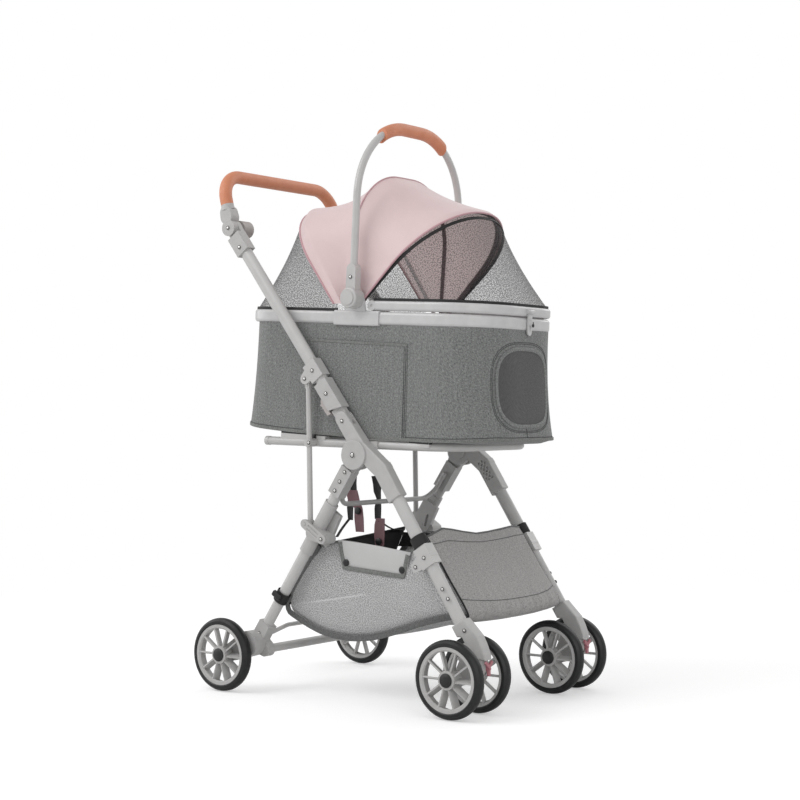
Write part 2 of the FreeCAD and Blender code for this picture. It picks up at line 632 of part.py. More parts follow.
def swivel_lock():
    """Y-shaped foot lever that holds the caster straight, with its two arms spread sideways."""
    eye = prism(capsule(LEVER_PIVOT, LEVER_PIVOT + Vector(8, 0, 0), 4.2, 3.6),
                -LEG_Y - LEVER_HALF, -LEG_Y + LEVER_HALF)
    outline = [(-3.5, 82), (3.5, 82), (3.5, 97), (13, 106), (9.5, 110), (0, 103), (-9.5, 110),
               (-13, 106), (-3.5, 97)]
    plate = polygon([Vector(SWIVEL.x + 13, -LEG_Y + y, z) for y, z in outline])
    plate = Part.Face(plate).extrude(Vector(4, 0, 0))
    return union([eye, plate]).cut(pin(LEVER_PIVOT, 1.8 + RUN, -LEG_Y - 20, -LEG_Y + 20))


SPOKES = 10
SPOKE_T = 3.4
SPOKE_PITCH_DEG = 16.0
FLANGE_T = 3.0             # bevelled ring on the rim's face


def tyre(y):
    """Solid tyre with round shoulders, on the wheel plane y, axis through the origin."""
    half = TYRE_W / 2
    r0, r1 = RIM_R, WHEEL_R
    profile = [Vector(0, -half + 1.5, r0), Vector(0, -half, r0 + 2.0), Vector(0, -half + 0.8, r1 - 6.0)]
    crown = [Vector(0, -half + 5.0, r1 - 1.6), Vector(0, 0, r1), Vector(0, half - 5.0, r1 - 1.6)]
    back = [Vector(0, half - 0.8, r1 - 6.0), Vector(0, half, r0 + 2.0), Vector(0, half - 1.5, r0)]
    edges = [Part.LineSegment(profile[0], profile[1]).toShape(),
             Part.LineSegment(profile[1], profile[2]).toShape(),
             Part.LineSegment(profile[2], crown[0]).toShape(),
             Part.Arc(crown[0], crown[1], crown[2]).toShape(),
             Part.LineSegment(crown[2], back[0]).toShape(),
             Part.LineSegment(back[0], back[1]).toShape(),
             Part.LineSegment(back[1], back[2]).toShape(),
             Part.LineSegment(back[2], profile[0]).toShape()]
    ring = Part.Face(Part.Wire(edges)).revolve(Vector(0, 0, 0), Y_AXIS, 360)
    ring.translate(Vector(0, y, 0))
    return ring


def spoked_rim(bore_r):
    """Rim with ten pitched vane spokes and a flat cap towards -Y, centred on the origin."""
    half = RIM_HALF
    band = Part.makeCylinder(RIM_R, 2 * half, Vector(0, -half, 0), Y_AXIS)
    band = band.cut(Part.makeCylinder(RIM_R - 5.0, 2 * half, Vector(0, -half, 0), Y_AXIS))
    flange = Part.makeCylinder(RIM_R - 2.0, FLANGE_T, Vector(0, -half, 0), Y_AXIS)
    flange = flange.cut(Part.makeCone(RIM_R - 6.0, RIM_R - 8.5, FLANGE_T, Vector(0, -half, 0), Y_AXIS))
    hub = Part.makeCylinder(18.0, 2 * half + 1.5, Vector(0, -half - 1.5, 0), Y_AXIS)
    cap = Part.makeCone(12.4, 11.2, 2.0, Vector(0, -half - 1.5, 0), Vector(0, -1, 0))
    parts = [band, flange, hub, cap]
    for k in range(SPOKES):
        vane = Part.makeBox(RIM_R - 14.0, 2 * half - 4.0, SPOKE_T,
                            Vector(12.0, -half + 1.0, -SPOKE_T / 2))
        vane.rotate(Vector(0, 0, 0), Vector(1, 0, 0), SPOKE_PITCH_DEG)
        vane.rotate(Vector(0, 0, 0), Y_AXIS, 360.0 * k / SPOKES)
        parts.append(vane)
    rim = union(parts)
    limit = Part.makeCylinder(RIM_R, 60.0, Vector(0, -30, 0), Y_AXIS)
    rim = rim.common(limit)
    return rim.cut(Part.makeCylinder(bore_r, 2 * half + 6.0, Vector(0, -half - 1.0, 0), Y_AXIS))


def placed(shape, centre, y):
    moved = shape.copy()
    moved.translate(Vector(centre.x, y, centre.z))
    return moved


def rim_pair():
    """Both rims of a caster, made one piece by the tube that turns in the yoke."""
    rim = spoked_rim(3.0)
    outer = placed(rim, FRONT_AXLE, -LEG_Y - TWIN_PITCH / 2)
    inner = placed(mirrored(rim), FRONT_AXLE, -LEG_Y + TWIN_PITCH / 2)
    reach = TWIN_PITCH / 2 - TYRE_W / 2 + 3.0
    tube = pin(FRONT_AXLE, AXLE_TUBE_R, -LEG_Y - reach, -LEG_Y + reach)
    return union([outer, inner, tube])


# ---------------------------------------------------------------- tray
TRAY_R = 8.5
TRAY_Y = CARRIER_W - 7.0
TRAY_OUT = TRAY_Y + TRAY_R
TRAY_REAR, TRAY_FRONT = -256.0, 196.0
TRAY_RAIL_Z = -4.7         # centre of the tray tube at the tilt centre, in the tray's own frame
RAIL_RISE_DEG = 1.85       # the tube stands this much flatter than the carrier on it
PAD_T = 5.0


def rail_z(x):
    """Height of the tray tube's centre line, in the tray's own frame."""
    return TRAY_RAIL_Z + x * math.tan(math.radians(RAIL_RISE_DEG))


CARRIER_FLOOR = rail_z(TRAY_FRONT) + TRAY_R + 2 * GAP


def tray_frame():
    """Bent tube under the carrier, open at the back, with a cross tube and end caps."""
    points = [Vector(TRAY_REAR, -TRAY_Y, 0), Vector(TRAY_FRONT, -TRAY_Y, 0),
              Vector(TRAY_FRONT, TRAY_Y, 0), Vector(TRAY_REAR, TRAY_Y, 0)]
    bow = pipe(points, [70.0, 70.0], TRAY_R)
    cross = Part.makeCylinder(7.0, 2 * TRAY_Y, Vector(TRAY_REAR + 22, -TRAY_Y, 0), Y_AXIS)
    caps = [Part.makeCylinder(TRAY_R + 0.8, 9.0, Vector(TRAY_REAR - 1.5, side * TRAY_Y, 0),
                              Vector(1, 0, 0)) for side in (-1, 1)]
    frame = union([bow, cross] + caps)
    frame.rotate(Vector(0, 0, 0), Y_AXIS, -RAIL_RISE_DEG)
    frame.translate(Vector(0, 0, TRAY_RAIL_Z))
    lugs = []
    for side in (-1, 1):
        lug = Part.makeBox(24, 16.0, 16.0, Vector(HUB_X + 14, -8.0, HUB_Z + 11))
        lug.translate(Vector(0, side * (TRAY_Y + 4.5), 0))
        lugs.append(lug.common(Part.makeBox(200, 2 * -INNER_Y, 200, Vector(HUB_X - 100, INNER_Y, HUB_Z - 90))))
    return union([tray(frame)] + lugs)


def tray_pad(x0, x1):
    """Ribbed plastic slat across the tray tubes, with a foot on each, under the carrier."""
    top = CARRIER_FLOOR - GAP
    low = rail_z(x0)
    slat = Part.makeBox(x1 - x0, 2 * TRAY_OUT - 4, PAD_T, Vector(x0, -TRAY_OUT + 2, top - PAD_T))
    feet = [Part.makeBox(x1 - x0, 14.0, top - low, Vector(x0, side * TRAY_Y - 7.0, low))
            for side in (-1, 1)]
    return tray(union([slat] + feet))


# ---------------------------------------------------------------- carrier
RAIL_X0, RAIL_X1 = -336.0, 270.0
RAIL_REAR_R, RAIL_FRONT_R = 70.0, 118.0
RAIL_Z0 = 234.0
RAIL_Z1 = RAIL_Z0 + RAIL_H
LID_Z0 = RAIL_Z1 + 2.0
LID_Z1 = LID_Z0 + LID_H
SLEEVE_X0, SLEEVE_X1 = -86.0, 26.0
LID_X = 6.0                # lid hinge
LID_Z = (LID_Z0 + LID_Z1) / 2
HOOP_X, HOOP_Z = -51.0, 247.0
BAIL_X, BAIL_Z = -32.0, 285.0
BAIL_STUB_R = 9.0
SMALL_PIN_R = 3.0          # pins of the lid and of the hoops
FABRIC = 9.0


def ring_rail(x0, x1, half_width, rear_r, front_r, z0, height, thick, edge_r):
    """Rail of flattened oval section that follows the carrier's plan outline."""
    outer = rounded_outline(x0, x1, half_width, rear_r, front_r, z0)
    inner = rounded_outline(x0 + thick, x1 - thick, half_width - thick,
                            rear_r - thick, front_r - thick, z0)
    rise = Vector(0, 0, height)
    ring = Part.Face(outer).extrude(rise).cut(Part.Face(inner).extrude(rise))

    def level(edge):
        return abs(edge.BoundBox.ZMax - edge.BoundBox.ZMin) < 1e-4
    return softened(ring, edge_r, level)


def lower_rail():
    return ring_rail(RAIL_X0, RAIL_X1, CARRIER_W, RAIL_REAR_R, RAIL_FRONT_R, RAIL_Z0, RAIL_H, RAIL_T, 6.5)


def tub_outline(z, grow):
    """Plan outline of the fabric tub at height z: flared foot, slim waist, full rim."""
    foot, waist, rim = CARRIER_FLOOR, 92.0, RAIL_Z0 + 3.0
    rows = {foot: (-335.0, 288.0, CARRIER_W + 0.5), waist: (-327.0, 274.0, CARRIER_W - 4.0),
            rim: (-331.0, 265.0, CARRIER_W - 5.0)}
    x0, x1, w = rows[z]
    return rounded_outline(x0 - grow, x1 + grow, w + grow, 72 + grow, 112 + grow, z)


TUB_FLOOR = 10.0           # top of the padded base above the tub's foot
PAD_H = 3.0                # the pad's rise above the base round it
PAD_INSET = 12.0           # the pad's edge to the walls, which lean in above it


def carrier_tub(rail, sleeves):
    """Padded fabric tub with a flared foot and a raised pad on its base, open at the top."""
    levels = (CARRIER_FLOOR, 92.0, RAIL_Z0 + 3.0)
    outer = Part.makeLoft([tub_outline(z, 0.0) for z in levels], True, True)
    inner = Part.makeLoft([tub_outline(z, -FABRIC) for z in levels], True, True)
    base = Part.makeBox(900, 3 * CARRIER_W, 60,
                        Vector(-450, -1.5 * CARRIER_W, CARRIER_FLOOR - 60 + TUB_FLOOR - PAD_H))
    pad = Part.Face(tub_outline(CARRIER_FLOOR, -FABRIC - PAD_INSET)).extrude(Vector(0, 0, TUB_FLOOR))
    inner = inner.cut([base, pad])
    return outer.cut(inner).cut([rail] + sleeves)


def rail_sleeve():
    """Moulded sleeve clamped on the lower rail, with the lid, hoop and bail pivots."""
    y_out, y_in = -CARRIER_W - 3.0, -CARRIER_W + RAIL_T + 3.0
    body = Part.makeBox(SLEEVE_X1 - SLEEVE_X0, y_in - y_out, RAIL_H + 4.5,
                        Vector(SLEEVE_X0, y_out, RAIL_Z0 - 3.0))
    body = softened(body, 4.0, lambda e: abs(e.BoundBox.XMax - e.BoundBox.XMin) > 50)
    post = prism(capsule(Vector(BAIL_X, 0, RAIL_Z1), Vector(BAIL_X, 0, BAIL_Z), 24.0, 19.0),
                 y_out, -SKIN_Y - GAP)
    post = post.cut(Part.makeBox(200, 60, 60, Vector(-120, -200, RAIL_Z1 - 60)))
    lid_lug = prism(capsule(Vector(LID_X, 0, RAIL_Z1 - 4), Vector(LID_X, 0, LID_Z), 9.0, 8.0),
                    -CARRIER_W + LID_T + GAP + 1.0, -CARRIER_W + LID_T + 6.0)
    body = union([body, post, lid_lug])
    stub = pin(Vector(BAIL_X, 0, BAIL_Z), BAIL_STUB_R, -BAIL_DISC_OUT + 3.0 + GAP, y_out)
    lid_pin = pin(Vector(LID_X, 0, LID_Z), SMALL_PIN_R, -CARRIER_W + 2.0, -CARRIER_W + LID_T + 2.0)
    hoop_pin = pin(Vector(HOOP_X, 0, HOOP_Z), SMALL_PIN_R, y_in, y_in + 18.0)
    return union([body, stub, lid_pin, hoop_pin])


CLASP_HALF = 7.0
CLASP_EYE_R = 4.5
CLASP_PIN_R = 1.8
CLASP_X = RAIL_X1 + 1.0 + GAP + CLASP_EYE_R     # its pin


def clasp_lugs():
    """Two ears on the lid rail's front with the clasp's pin between them."""
    centre = Vector(CLASP_X, 0, LID_Z)
    face = capsule(Vector(RAIL_X1 - 4.0, 0, LID_Z), centre, 7.0, 3.6)
    ears = [prism(face, s * (CLASP_HALF + GAP + 1.6) - 1.6, s * (CLASP_HALF + GAP + 1.6) + 1.6)
            for s in (-1, 1)]
    return ears + [pin(centre, CLASP_PIN_R, -CLASP_HALF - 2.0, CLASP_HALF + 2.0)]


def lid_clasp():
    """Drop clasp at the front: a rounded leaf over both rails, with a keyhole slot."""
    x = RAIL_X1 + 1.0 + GAP
    leaf = Part.makeBox(3.5, 2 * CLASP_HALF, LID_Z - RAIL_Z0 + 2.0, Vector(x, -CLASP_HALF, RAIL_Z0 - 2.0))
    low = Part.makeCylinder(CLASP_HALF, 3.5, Vector(x, 0, RAIL_Z0 - 2.0), Vector(1, 0, 0))
    rivet = Part.makeCylinder(2.6, 1.2, Vector(x + 3.5, 0, RAIL_Z0 + 23.0), Vector(1, 0, 0))
    centre = Vector(CLASP_X, 0, LID_Z)
    eye = pin(centre, CLASP_EYE_R, -CLASP_HALF, CLASP_HALF)
    slot = Part.makeCylinder(2.2, 10, Vector(x - 1, 0, RAIL_Z0 + 9.0), Vector(1, 0, 0))
    neck = Part.makeBox(10, 2.0, 12.0, Vector(x - 1, -1.0, RAIL_Z0 - 2.0))
    bore = pin(centre, CLASP_PIN_R + RUN, -20, 20)
    return union([leaf, low, eye, rivet]).cut([slot, neck, bore])


def lid_rail():
    """Front half of the upper rail: a bow that hinges on the two sleeves."""
    ring = ring_rail(RAIL_X0, RAIL_X1 + 1.0, CARRIER_W, RAIL_REAR_R, RAIL_FRONT_R, LID_Z0, LID_H, LID_T, 6.0)
    front = ring.common(Part.makeBox(600, 600, 100, Vector(LID_X, -300, LID_Z0 - 40)))
    knuckle = pin(Vector(LID_X, 0, LID_Z), LID_H / 2, -CARRIER_W, -CARRIER_W + LID_T)
    rail = union([front, knuckle, mirrored(knuckle)] + clasp_lugs())
    holes = [pin(Vector(LID_X, 0, LID_Z), SMALL_PIN_R + RUN, s * CARRIER_W - 30, s * CARRIER_W + 30)
             for s in (-1, 1)]
    return rail.cut(holes)


# ---------------------------------------------------------------- hoops, canopy and meshes
HOOP_R = 4.0
HOOP_EYE_HALF = 3.4        # the tube's ends are flattened round their pins
HOOP_Y = CARRIER_W - 9.5            # half width over the hoops' tubes, where they have splayed out
HOOP_SPLAY = 80.0          # length over which a hoop splays from its pin
FRONT_FOOT_Y = CARRIER_W - 23.4
MID_FOOT_Y = CARRIER_W - 31.9
REAR_FOOT_Y = CARRIER_W - 13.0
FRONT_HOOP_DEG, MID_HOOP_DEG, REAR_HOOP_DEG = 51.5, 90.5, 125.0
FRONT_HOOP_L, MID_HOOP_L, REAR_HOOP_L = 290.0, 302.0, 272.0
FRONT_BEND, MID_BEND, REAR_BEND = 125.0, 122.0, 90.0       # corner radii of the hoops
CANOPY_T = 2.5
MESH_T = 2.0


def hoop_point(angle, along, y):
    point = Vector(HOOP_X, 0, HOOP_Z) + direction(angle) * along
    return Vector(point.x, y, point.z)


def hoop(angle, length, bend, foot_y, start):
    """Bow over the cabin, splaying out from its two feet."""
    side = [hoop_point(angle, start, -foot_y), hoop_point(angle, start + 14.0, -foot_y),
            hoop_point(angle, HOOP_SPLAY, -HOOP_Y), hoop_point(angle, length, -HOOP_Y)]
    other = [Vector(p.x, -p.y, p.z) for p in reversed(side)]
    return pipe(side + other, [30.0, 40.0, bend, bend, 40.0, 30.0], HOOP_R)


def hinged_hoop(angle, length, bend, foot_y):
    """Hoop with a flattened eye at each foot, for the pins of the two sleeves."""
    bow = hoop(angle, length, bend, foot_y, 3.0)
    eyes = [pin(Vector(HOOP_X, 0, HOOP_Z), 7.0, s * foot_y - HOOP_EYE_HALF, s * foot_y + HOOP_EYE_HALF)
            for s in (-1, 1)]
    bores = [pin(Vector(HOOP_X, 0, HOOP_Z), SMALL_PIN_R + RUN, s * foot_y - 20, s * foot_y + 20)
             for s in (-1, 1)]
    return union([bow] + eyes).cut(bores)


def band_wire(origin, angle, start, length, half_width, bend, thick):
    """Closed outline of a bow-shaped band in the plane through a cross axis at an angle."""
    def bow(l, w, b):
        c = b * (1 - math.sqrt(0.5))
        return [(start, -w), (l - b, -w), (l - c, -w + c), (l, -w + b),
                (l, w - b), (l - c, w - c), (l - b, w), (start, w)]

    def p(pair):
        point = origin + direction(angle) * pair[0]
        return Vector(point.x, pair[1], point.z)

    o = bow(length, half_width, bend)
    i = bow(length - thick, half_width - thick, bend - thick)
    corners = [(o[0], o[1]), (o[1], o[2], o[3]), (o[3], o[4]), (o[4], o[5], o[6]), (o[6], o[7]),
               (o[7], i[7]), (i[7], i[6]), (i[6], i[5], i[4]), (i[4], i[3]), (i[3], i[2], i[1]),
               (i[1], i[0]), (i[0], o[0])]
    edges = []
    for corner in corners:
        curve = Part.Arc if len(corner) == 3 else Part.LineSegment
        edges.append(curve(*[p(pair) for pair in corner]).toShape())
    return Part.Wire(edges)


SKIN_EXTRA = HOOP_R + 2 * GAP + CANOPY_T       # the canopy's outside, over the hoops' centre lines
SKIN_Y = HOOP_Y + SKIN_EXTRA


HOOP_AXIS = Vector(HOOP_X, 0, HOOP_Z)


def hoop_band(angle, start, length, bend, thick):
    """Band just outside a hoop."""
    return band_wire(HOOP_AXIS, angle, start, length + SKIN_EXTRA, SKIN_Y, bend + SKIN_EXTRA, thick)


def canopy():
    """Fabric roof over the three hoops."""
    rows = [(REAR_HOOP_DEG + 1.5, REAR_HOOP_L, REAR_BEND), (REAR_HOOP_DEG, REAR_HOOP_L, REAR_BEND),
            (MID_HOOP_DEG, MID_HOOP_L, MID_BEND), (FRONT_HOOP_DEG, FRONT_HOOP_L, FRONT_BEND),
            (FRONT_HOOP_DEG - 1.5, FRONT_HOOP_L, FRONT_BEND)]
    return Part.makeLoft([hoop_band(a, 36.0, l, b, CANOPY_T) for a, l, b in rows], True, True)


def mesh_wall(high, edge_x, heading, z, reach, bend):
    """Mesh from a hoop's band down to a level edge that follows a rail's plan."""
    low = band_wire(Vector(edge_x, 0, z), heading, 3.0, reach, CARRIER_W - 5.0, bend, MESH_T)
    return Part.makeLoft([high, low], True, True)


def front_mesh():
    high = hoop_band(FRONT_HOOP_DEG - 2.2, 62.0, FRONT_HOOP_L, FRONT_BEND, MESH_T)
    return mesh_wall(high, LID_X, 0, LID_Z1 + GAP, RAIL_X1 - LID_X - 5.0, RAIL_FRONT_R - 5.0)


def rear_mesh():
    high = hoop_band(REAR_HOOP_DEG + 2.2, 62.0, REAR_HOOP_L, REAR_BEND, MESH_T)
    return mesh_wall(high, SLEEVE_X0, 180, RAIL_Z1 + GAP, SLEEVE_X0 - RAIL_X0 - 5.0, RAIL_REAR_R - 5.0)


# ---------------------------------------------------------------- carry bail
BAIL_Y = CARRIER_W + 13.0
BAIL_TOP = 638.0
BAIL_BEND = 150.0
BAIL_GRIP_Y = 105.0        # half length of the leather sleeve
BAIL_TUBE_R = 7.5
BAIL_DISC_R = 20.5
BAIL_DISC_OUT = CARRIER_W + 3.0 + 26.0


def bail_run(radius, foot):
    """Arch from one foot of the carry handle over to the other."""
    points = [Vector(BAIL_X, -BAIL_Y, foot), Vector(BAIL_X, -BAIL_Y, BAIL_TOP),
              Vector(BAIL_X, BAIL_Y, BAIL_TOP), Vector(BAIL_X, BAIL_Y, foot)]
    return pipe(points, [BAIL_BEND, BAIL_BEND], radius)


def bail_frame():
    """Carry handle: bent tube with a moulded arm and a round pivot cup at each end."""
    tube = bail_run(BAIL_TUBE_R, BAIL_Z + 48.0)
    y_face = CARRIER_W + 3.0 + GAP
    centre = Vector(BAIL_X, 0, BAIL_Z)
    cup = pin(centre, BAIL_DISC_R, -BAIL_DISC_OUT, -y_face)
    cup = softened(cup, 3.0, rim_of_plate(-BAIL_DISC_OUT))
    ring = pin(centre, 14.0, -BAIL_DISC_OUT - 2.0, -BAIL_DISC_OUT)
    arm = prism(capsule(Vector(BAIL_X, 0, BAIL_Z + 12), Vector(BAIL_X, 0, BAIL_Z + 58), 12.0, 11.0),
                -BAIL_Y - 9.0, -BAIL_Y + 9.0)
    head = rivet(Vector(BAIL_X, 0, BAIL_Z + 42), -BAIL_Y - 9.0)
    side = union([cup, ring, arm, head])
    side = side.cut(pin(centre, BAIL_STUB_R + RUN, -BAIL_DISC_OUT + 3.0, -y_face + 1))
    return union([tube, side, mirrored(side)])


def bail_grip():
    """Leather sleeve over the top of the carry handle."""
    wrap = bail_run(13.0, BAIL_Z + 48.0).cut(bail_run(BAIL_TUBE_R, BAIL_Z + 40.0))
    middle = Part.makeBox(200, 2 * BAIL_GRIP_Y, 400, Vector(BAIL_X - 100, -BAIL_GRIP_Y, BAIL_TOP - 120))
    return wrap.common(middle)


# ---------------------------------------------------------------- basket
BASKET_Y = LEG_Y - 25.5
BASKET_T = 3.0


def hub_point(dx, z):
    return Vector(HUB_X + dx, 0, z)


def basket_outline(inset):
    """Side outline of the basket: level top, belly sagging between the legs."""
    i = inset
    rear_top, rear_low = hub_point(-108 + i, 306), hub_point(-190 + i, 186)
    return [rear_top, rear_low, hub_point(-186 + i, 168 + i), hub_point(-84, 131 + i),
            hub_point(-20, 125 + i), hub_point(67, 139 + i), hub_point(150, 162 + i),
            hub_point(232 - i, 187 + i), hub_point(243 - i, 205), hub_point(150 - i, 332)]


def basket():
    """Fabric tub slung between the legs, open at the top, with its webbing loops."""
    outer = prism(polygon(basket_outline(0.0)), -BASKET_Y, BASKET_Y)
    top_cut = [hub_point(-108 + BASKET_T + 1, 300), hub_point(-104, 360), hub_point(150, 360),
               hub_point(150 - BASKET_T - 1, 326)]
    room = prism(polygon(basket_outline(BASKET_T)), -BASKET_Y + BASKET_T, BASKET_Y - BASKET_T)
    lid_room = prism(polygon(top_cut), -BASKET_Y + BASKET_T, BASKET_Y - BASKET_T)
    tub = outer.cut([room, lid_room])
    loops = []
    for point, axis, a, b, inward in ((on_front_leg(193), DOWN, LEG_A, LEG_B, Vector(-16, 0, 0)),
                                      (on_rear_leg(352), BACK, REAR_A, REAR_B, Vector(26, 0, 0))):
        p, q = point - axis * 12.0, point + axis * 12.0
        loop = oval_bar(p, q, a + 2.0 + GAP, b + 2.0 + GAP).cut(
            oval_bar(p - axis * 3, q + axis * 3, a + GAP, b + GAP))
        tab_face = polygon([p + axis * 3, q - axis * 3, q - axis * 3 + inward, p + axis * 3 + inward])
        tab = prism(tab_face, -LEG_Y + b + GAP + 1.0, -BASKET_Y + 1.0)
        loops.append(union([loop, tab]))
    tub = union([tub] + loops + [mirrored(loop) for loop in loops])
    bar_room = pin(FRONT_CROSS, FRONT_CROSS_R + 1.0, -BASKET_Y - 5, BASKET_Y + 5)
    return tub.cut(bar_room)


FRONT_CROSS = on_front_leg(272)
FRONT_CROSS_R = 7.0


def front_cross_tube():
    """Tube between the front legs, hidden inside the basket's front."""
    tube = pin(FRONT_CROSS, FRONT_CROSS_R, -LEG_Y + 6, LEG_Y - 6)
    bore = pin(FRONT_CROSS, FRONT_CROSS_R - WALL, -LEG_Y, LEG_Y)
    legs = [oval_bar(on_front_leg(240), on_front_leg(310), LEG_A, LEG_B, s * LEG_Y) for s in (-1, 1)]
    return tube.cut([bore] + legs)


def basket_front():
    """Stiffened fabric panel that closes the basket's front and folds under its nose."""
    points = [hub_point(150.6, 333), hub_point(243.6, 205.6), hub_point(232.4, 186.6),
              hub_point(236, 183), hub_point(248.6, 203.5), hub_point(156, 335.5)]
    return prism(polygon(points), -BASKET_Y - 8.0, BASKET_Y + 8.0)


# ---------------------------------------------------------------- build
keep_pair("front_leg", front_leg())
keep_pair("hub_casting", hub_casting())
keep_pair("fork_head", fork_head())
keep_piece("front_cross_tube", front_cross_tube())
keep_piece("tray_frame", union([tray_frame(), tray_pad(-214.0, -98.0), tray_pad(112.0, 160.0)]))
keep_piece("basket", basket())
keep_piece("basket_front", basket_front())

keep_pair("handle_tube", handle_tube())
keep_pair("fold_knuckle", fold_knuckle())
keep_pair("tilt_socket", tilt_socket())
keep_pair("latch_trigger", latch_trigger())
keep_pair("tilt_button", tilt_button())
keep_piece("grip_frame", grip_frame())
keep_piece("grip_leather", grip_leather())

keep_pair("rear_leg", rear_leg())
keep_pair("rear_knuckle", rear_knuckle())
keep_pair("rear_foot", rear_foot())
keep_piece("rear_cross_tube", rear_cross_tube())
keep_piece("brace_bar", brace_bar())
keep_piece("brake_bar", brake_bar())
keep_pair("fold_slider", fold_slider())
keep_pair("fold_rod", fold_rod())

keep_pair("rear_rim", placed(spoked_rim(AXLE_R + RUN), AXLE, -REAR_WHEEL_Y))
keep_pair("rear_tyre", placed(tyre(0.0), AXLE, -REAR_WHEEL_Y))
keep_pair("caster_yoke", caster_yoke())
keep_pair("swivel_lock", swivel_lock())
keep_pair("front_rims", rim_pair())
keep_pair("front_tyre_outer", placed(tyre(0.0), FRONT_AXLE, -LEG_Y - TWIN_PITCH / 2))
keep_pair("front_tyre_inner", placed(tyre(0.0), FRONT_AXLE, -LEG_Y + TWIN_PITCH / 2))

RAIL = lower_rail()
SLEEVE = rail_sleeve().cut(RAIL)
keep_piece("carrier_tub", tray(carrier_tub(RAIL, [SLEEVE, mirrored(SLEEVE)])))
REAR_HOOP = hoop(REAR_HOOP_DEG, REAR_HOOP_L, REAR_BEND, REAR_FOOT_Y, 8.0)
keep_piece("lower_rail", tray(union([RAIL, SLEEVE, mirrored(SLEEVE), REAR_HOOP])))
keep_piece("lid_rail", tray(lid_rail()))
keep_piece("lid_clasp", tray(lid_clasp()))
keep_piece("bail_frame", tray(bail_frame()))
keep_piece("bail_grip", tray(bail_grip()))
keep_piece("mid_hoop", tray(hinged_hoop(MID_HOOP_DEG, MID_HOOP_L, MID_BEND, MID_FOOT_Y)))
keep_piece("front_hoop", tray(hinged_hoop(FRONT_HOOP_DEG, FRONT_HOOP_L, FRONT_BEND, FRONT_FOOT_Y)))
keep_piece("canopy", tray(canopy()))
keep_piece("front_mesh", tray(front_mesh()))
keep_piece("rear_mesh", tray(rear_mesh()))

for name, solid in PIECES.items():
    if not solid.isValid():
        raise ValueError(name + " is not a valid solid")
    solid.exportStep("parts/%s.step" % name)
print(len(PIECES), "pieces")
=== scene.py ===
"""Pet stroller: looks of the frame, wheels, carrier, canopy and basket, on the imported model."""
import json
import math

import bpy
import numpy as np
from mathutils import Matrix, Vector


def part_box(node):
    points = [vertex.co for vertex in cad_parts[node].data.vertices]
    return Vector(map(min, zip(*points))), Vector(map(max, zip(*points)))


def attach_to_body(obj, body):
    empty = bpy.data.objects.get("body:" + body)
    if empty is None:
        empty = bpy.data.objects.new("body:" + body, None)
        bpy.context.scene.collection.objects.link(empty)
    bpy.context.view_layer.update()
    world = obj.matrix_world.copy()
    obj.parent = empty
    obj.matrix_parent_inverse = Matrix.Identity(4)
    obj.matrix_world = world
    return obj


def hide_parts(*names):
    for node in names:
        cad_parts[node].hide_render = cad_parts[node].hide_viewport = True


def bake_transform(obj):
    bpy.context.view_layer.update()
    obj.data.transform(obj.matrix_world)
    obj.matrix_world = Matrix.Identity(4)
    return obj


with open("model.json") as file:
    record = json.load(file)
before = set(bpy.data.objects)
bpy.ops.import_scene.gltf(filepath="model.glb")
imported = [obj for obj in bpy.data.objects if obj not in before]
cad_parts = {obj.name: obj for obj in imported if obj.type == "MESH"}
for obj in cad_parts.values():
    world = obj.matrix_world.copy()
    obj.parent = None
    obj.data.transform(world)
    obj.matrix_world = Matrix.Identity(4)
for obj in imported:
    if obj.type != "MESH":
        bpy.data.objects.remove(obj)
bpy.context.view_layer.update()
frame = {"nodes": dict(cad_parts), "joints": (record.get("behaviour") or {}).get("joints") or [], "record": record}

bl_info = {
    "name": "Pet Stroller Dresser",
    "version": (1, 0, 0),
    "blender": (4, 5, 0),
    "location": "View3D > Sidebar > Stroller",
    "description": "Makes the fabric, trim and finishes of a folding pet stroller",
    "category": "Object",
}

MM = 0.001
JOINTS = {joint["name"]: joint for joint in frame["joints"]}


def joint_at(name):
    """Place of a joint's axis, in metres."""
    return np.array(JOINTS[name]["pos_m"], float)


HUB = joint_at("rear_legs_fold")
FOLD = joint_at("handle_fold")
LEG_Y = 182.5              # centre plane of the legs, mm
RIVET_FACE = 196.3         # outboard face that the rivets stand on, mm
WHEEL_Z = 75.0             # height of the axles, mm
TRAY_UP = np.array(JOINTS["carrier_lift"]["axis"], float)
TRAY_AHEAD = np.array([TRAY_UP[2], 0.0, -TRAY_UP[0]])
TRAY_ABOVE_HUB = 25.0      # the tray's tilt centre over the hub, mm
TRAY_ORIGIN = np.array([HUB[0], 0.0, HUB[2] + TRAY_ABOVE_HUB * MM])
UPPER_ANGLE, LOWER_ANGLE, REAR_ANGLE = 52.95, 57.15, 56.3      # slopes of handle, front and rear leg
SKY_STRENGTH = 0.62        # of the white surroundings as a light; the camera sees them at full white


# ------------------------------------------------------------------ colour and shader helpers
def linear(code):
    """sRGB hex code to a linear RGBA colour."""
    values = [int(code[i:i + 2], 16) / 255 for i in (1, 3, 5)]
    return tuple([v / 12.92 if v <= 0.04045 else ((v + 0.055) / 1.055) ** 2.4 for v in values] + [1.0])


def add(tree, kind, inputs=(), **settings):
    """Add one shader node: settings are its properties, inputs its values or the sockets that feed it."""
    node = tree.nodes.new(kind)
    for key, value in settings.items():
        setattr(node, key, value)
    for key, value in dict(inputs).items():
        if isinstance(value, bpy.types.NodeSocket):
            tree.links.new(value, node.inputs[key])
        else:
            node.inputs[key].default_value = value
    return node


def new_material(name):
    """Material with an empty tree and its output node."""
    material = bpy.data.materials.new(name)
    material.use_nodes = True
    tree = material.node_tree
    tree.nodes.clear()
    return material, tree, add(tree, "ShaderNodeOutputMaterial")


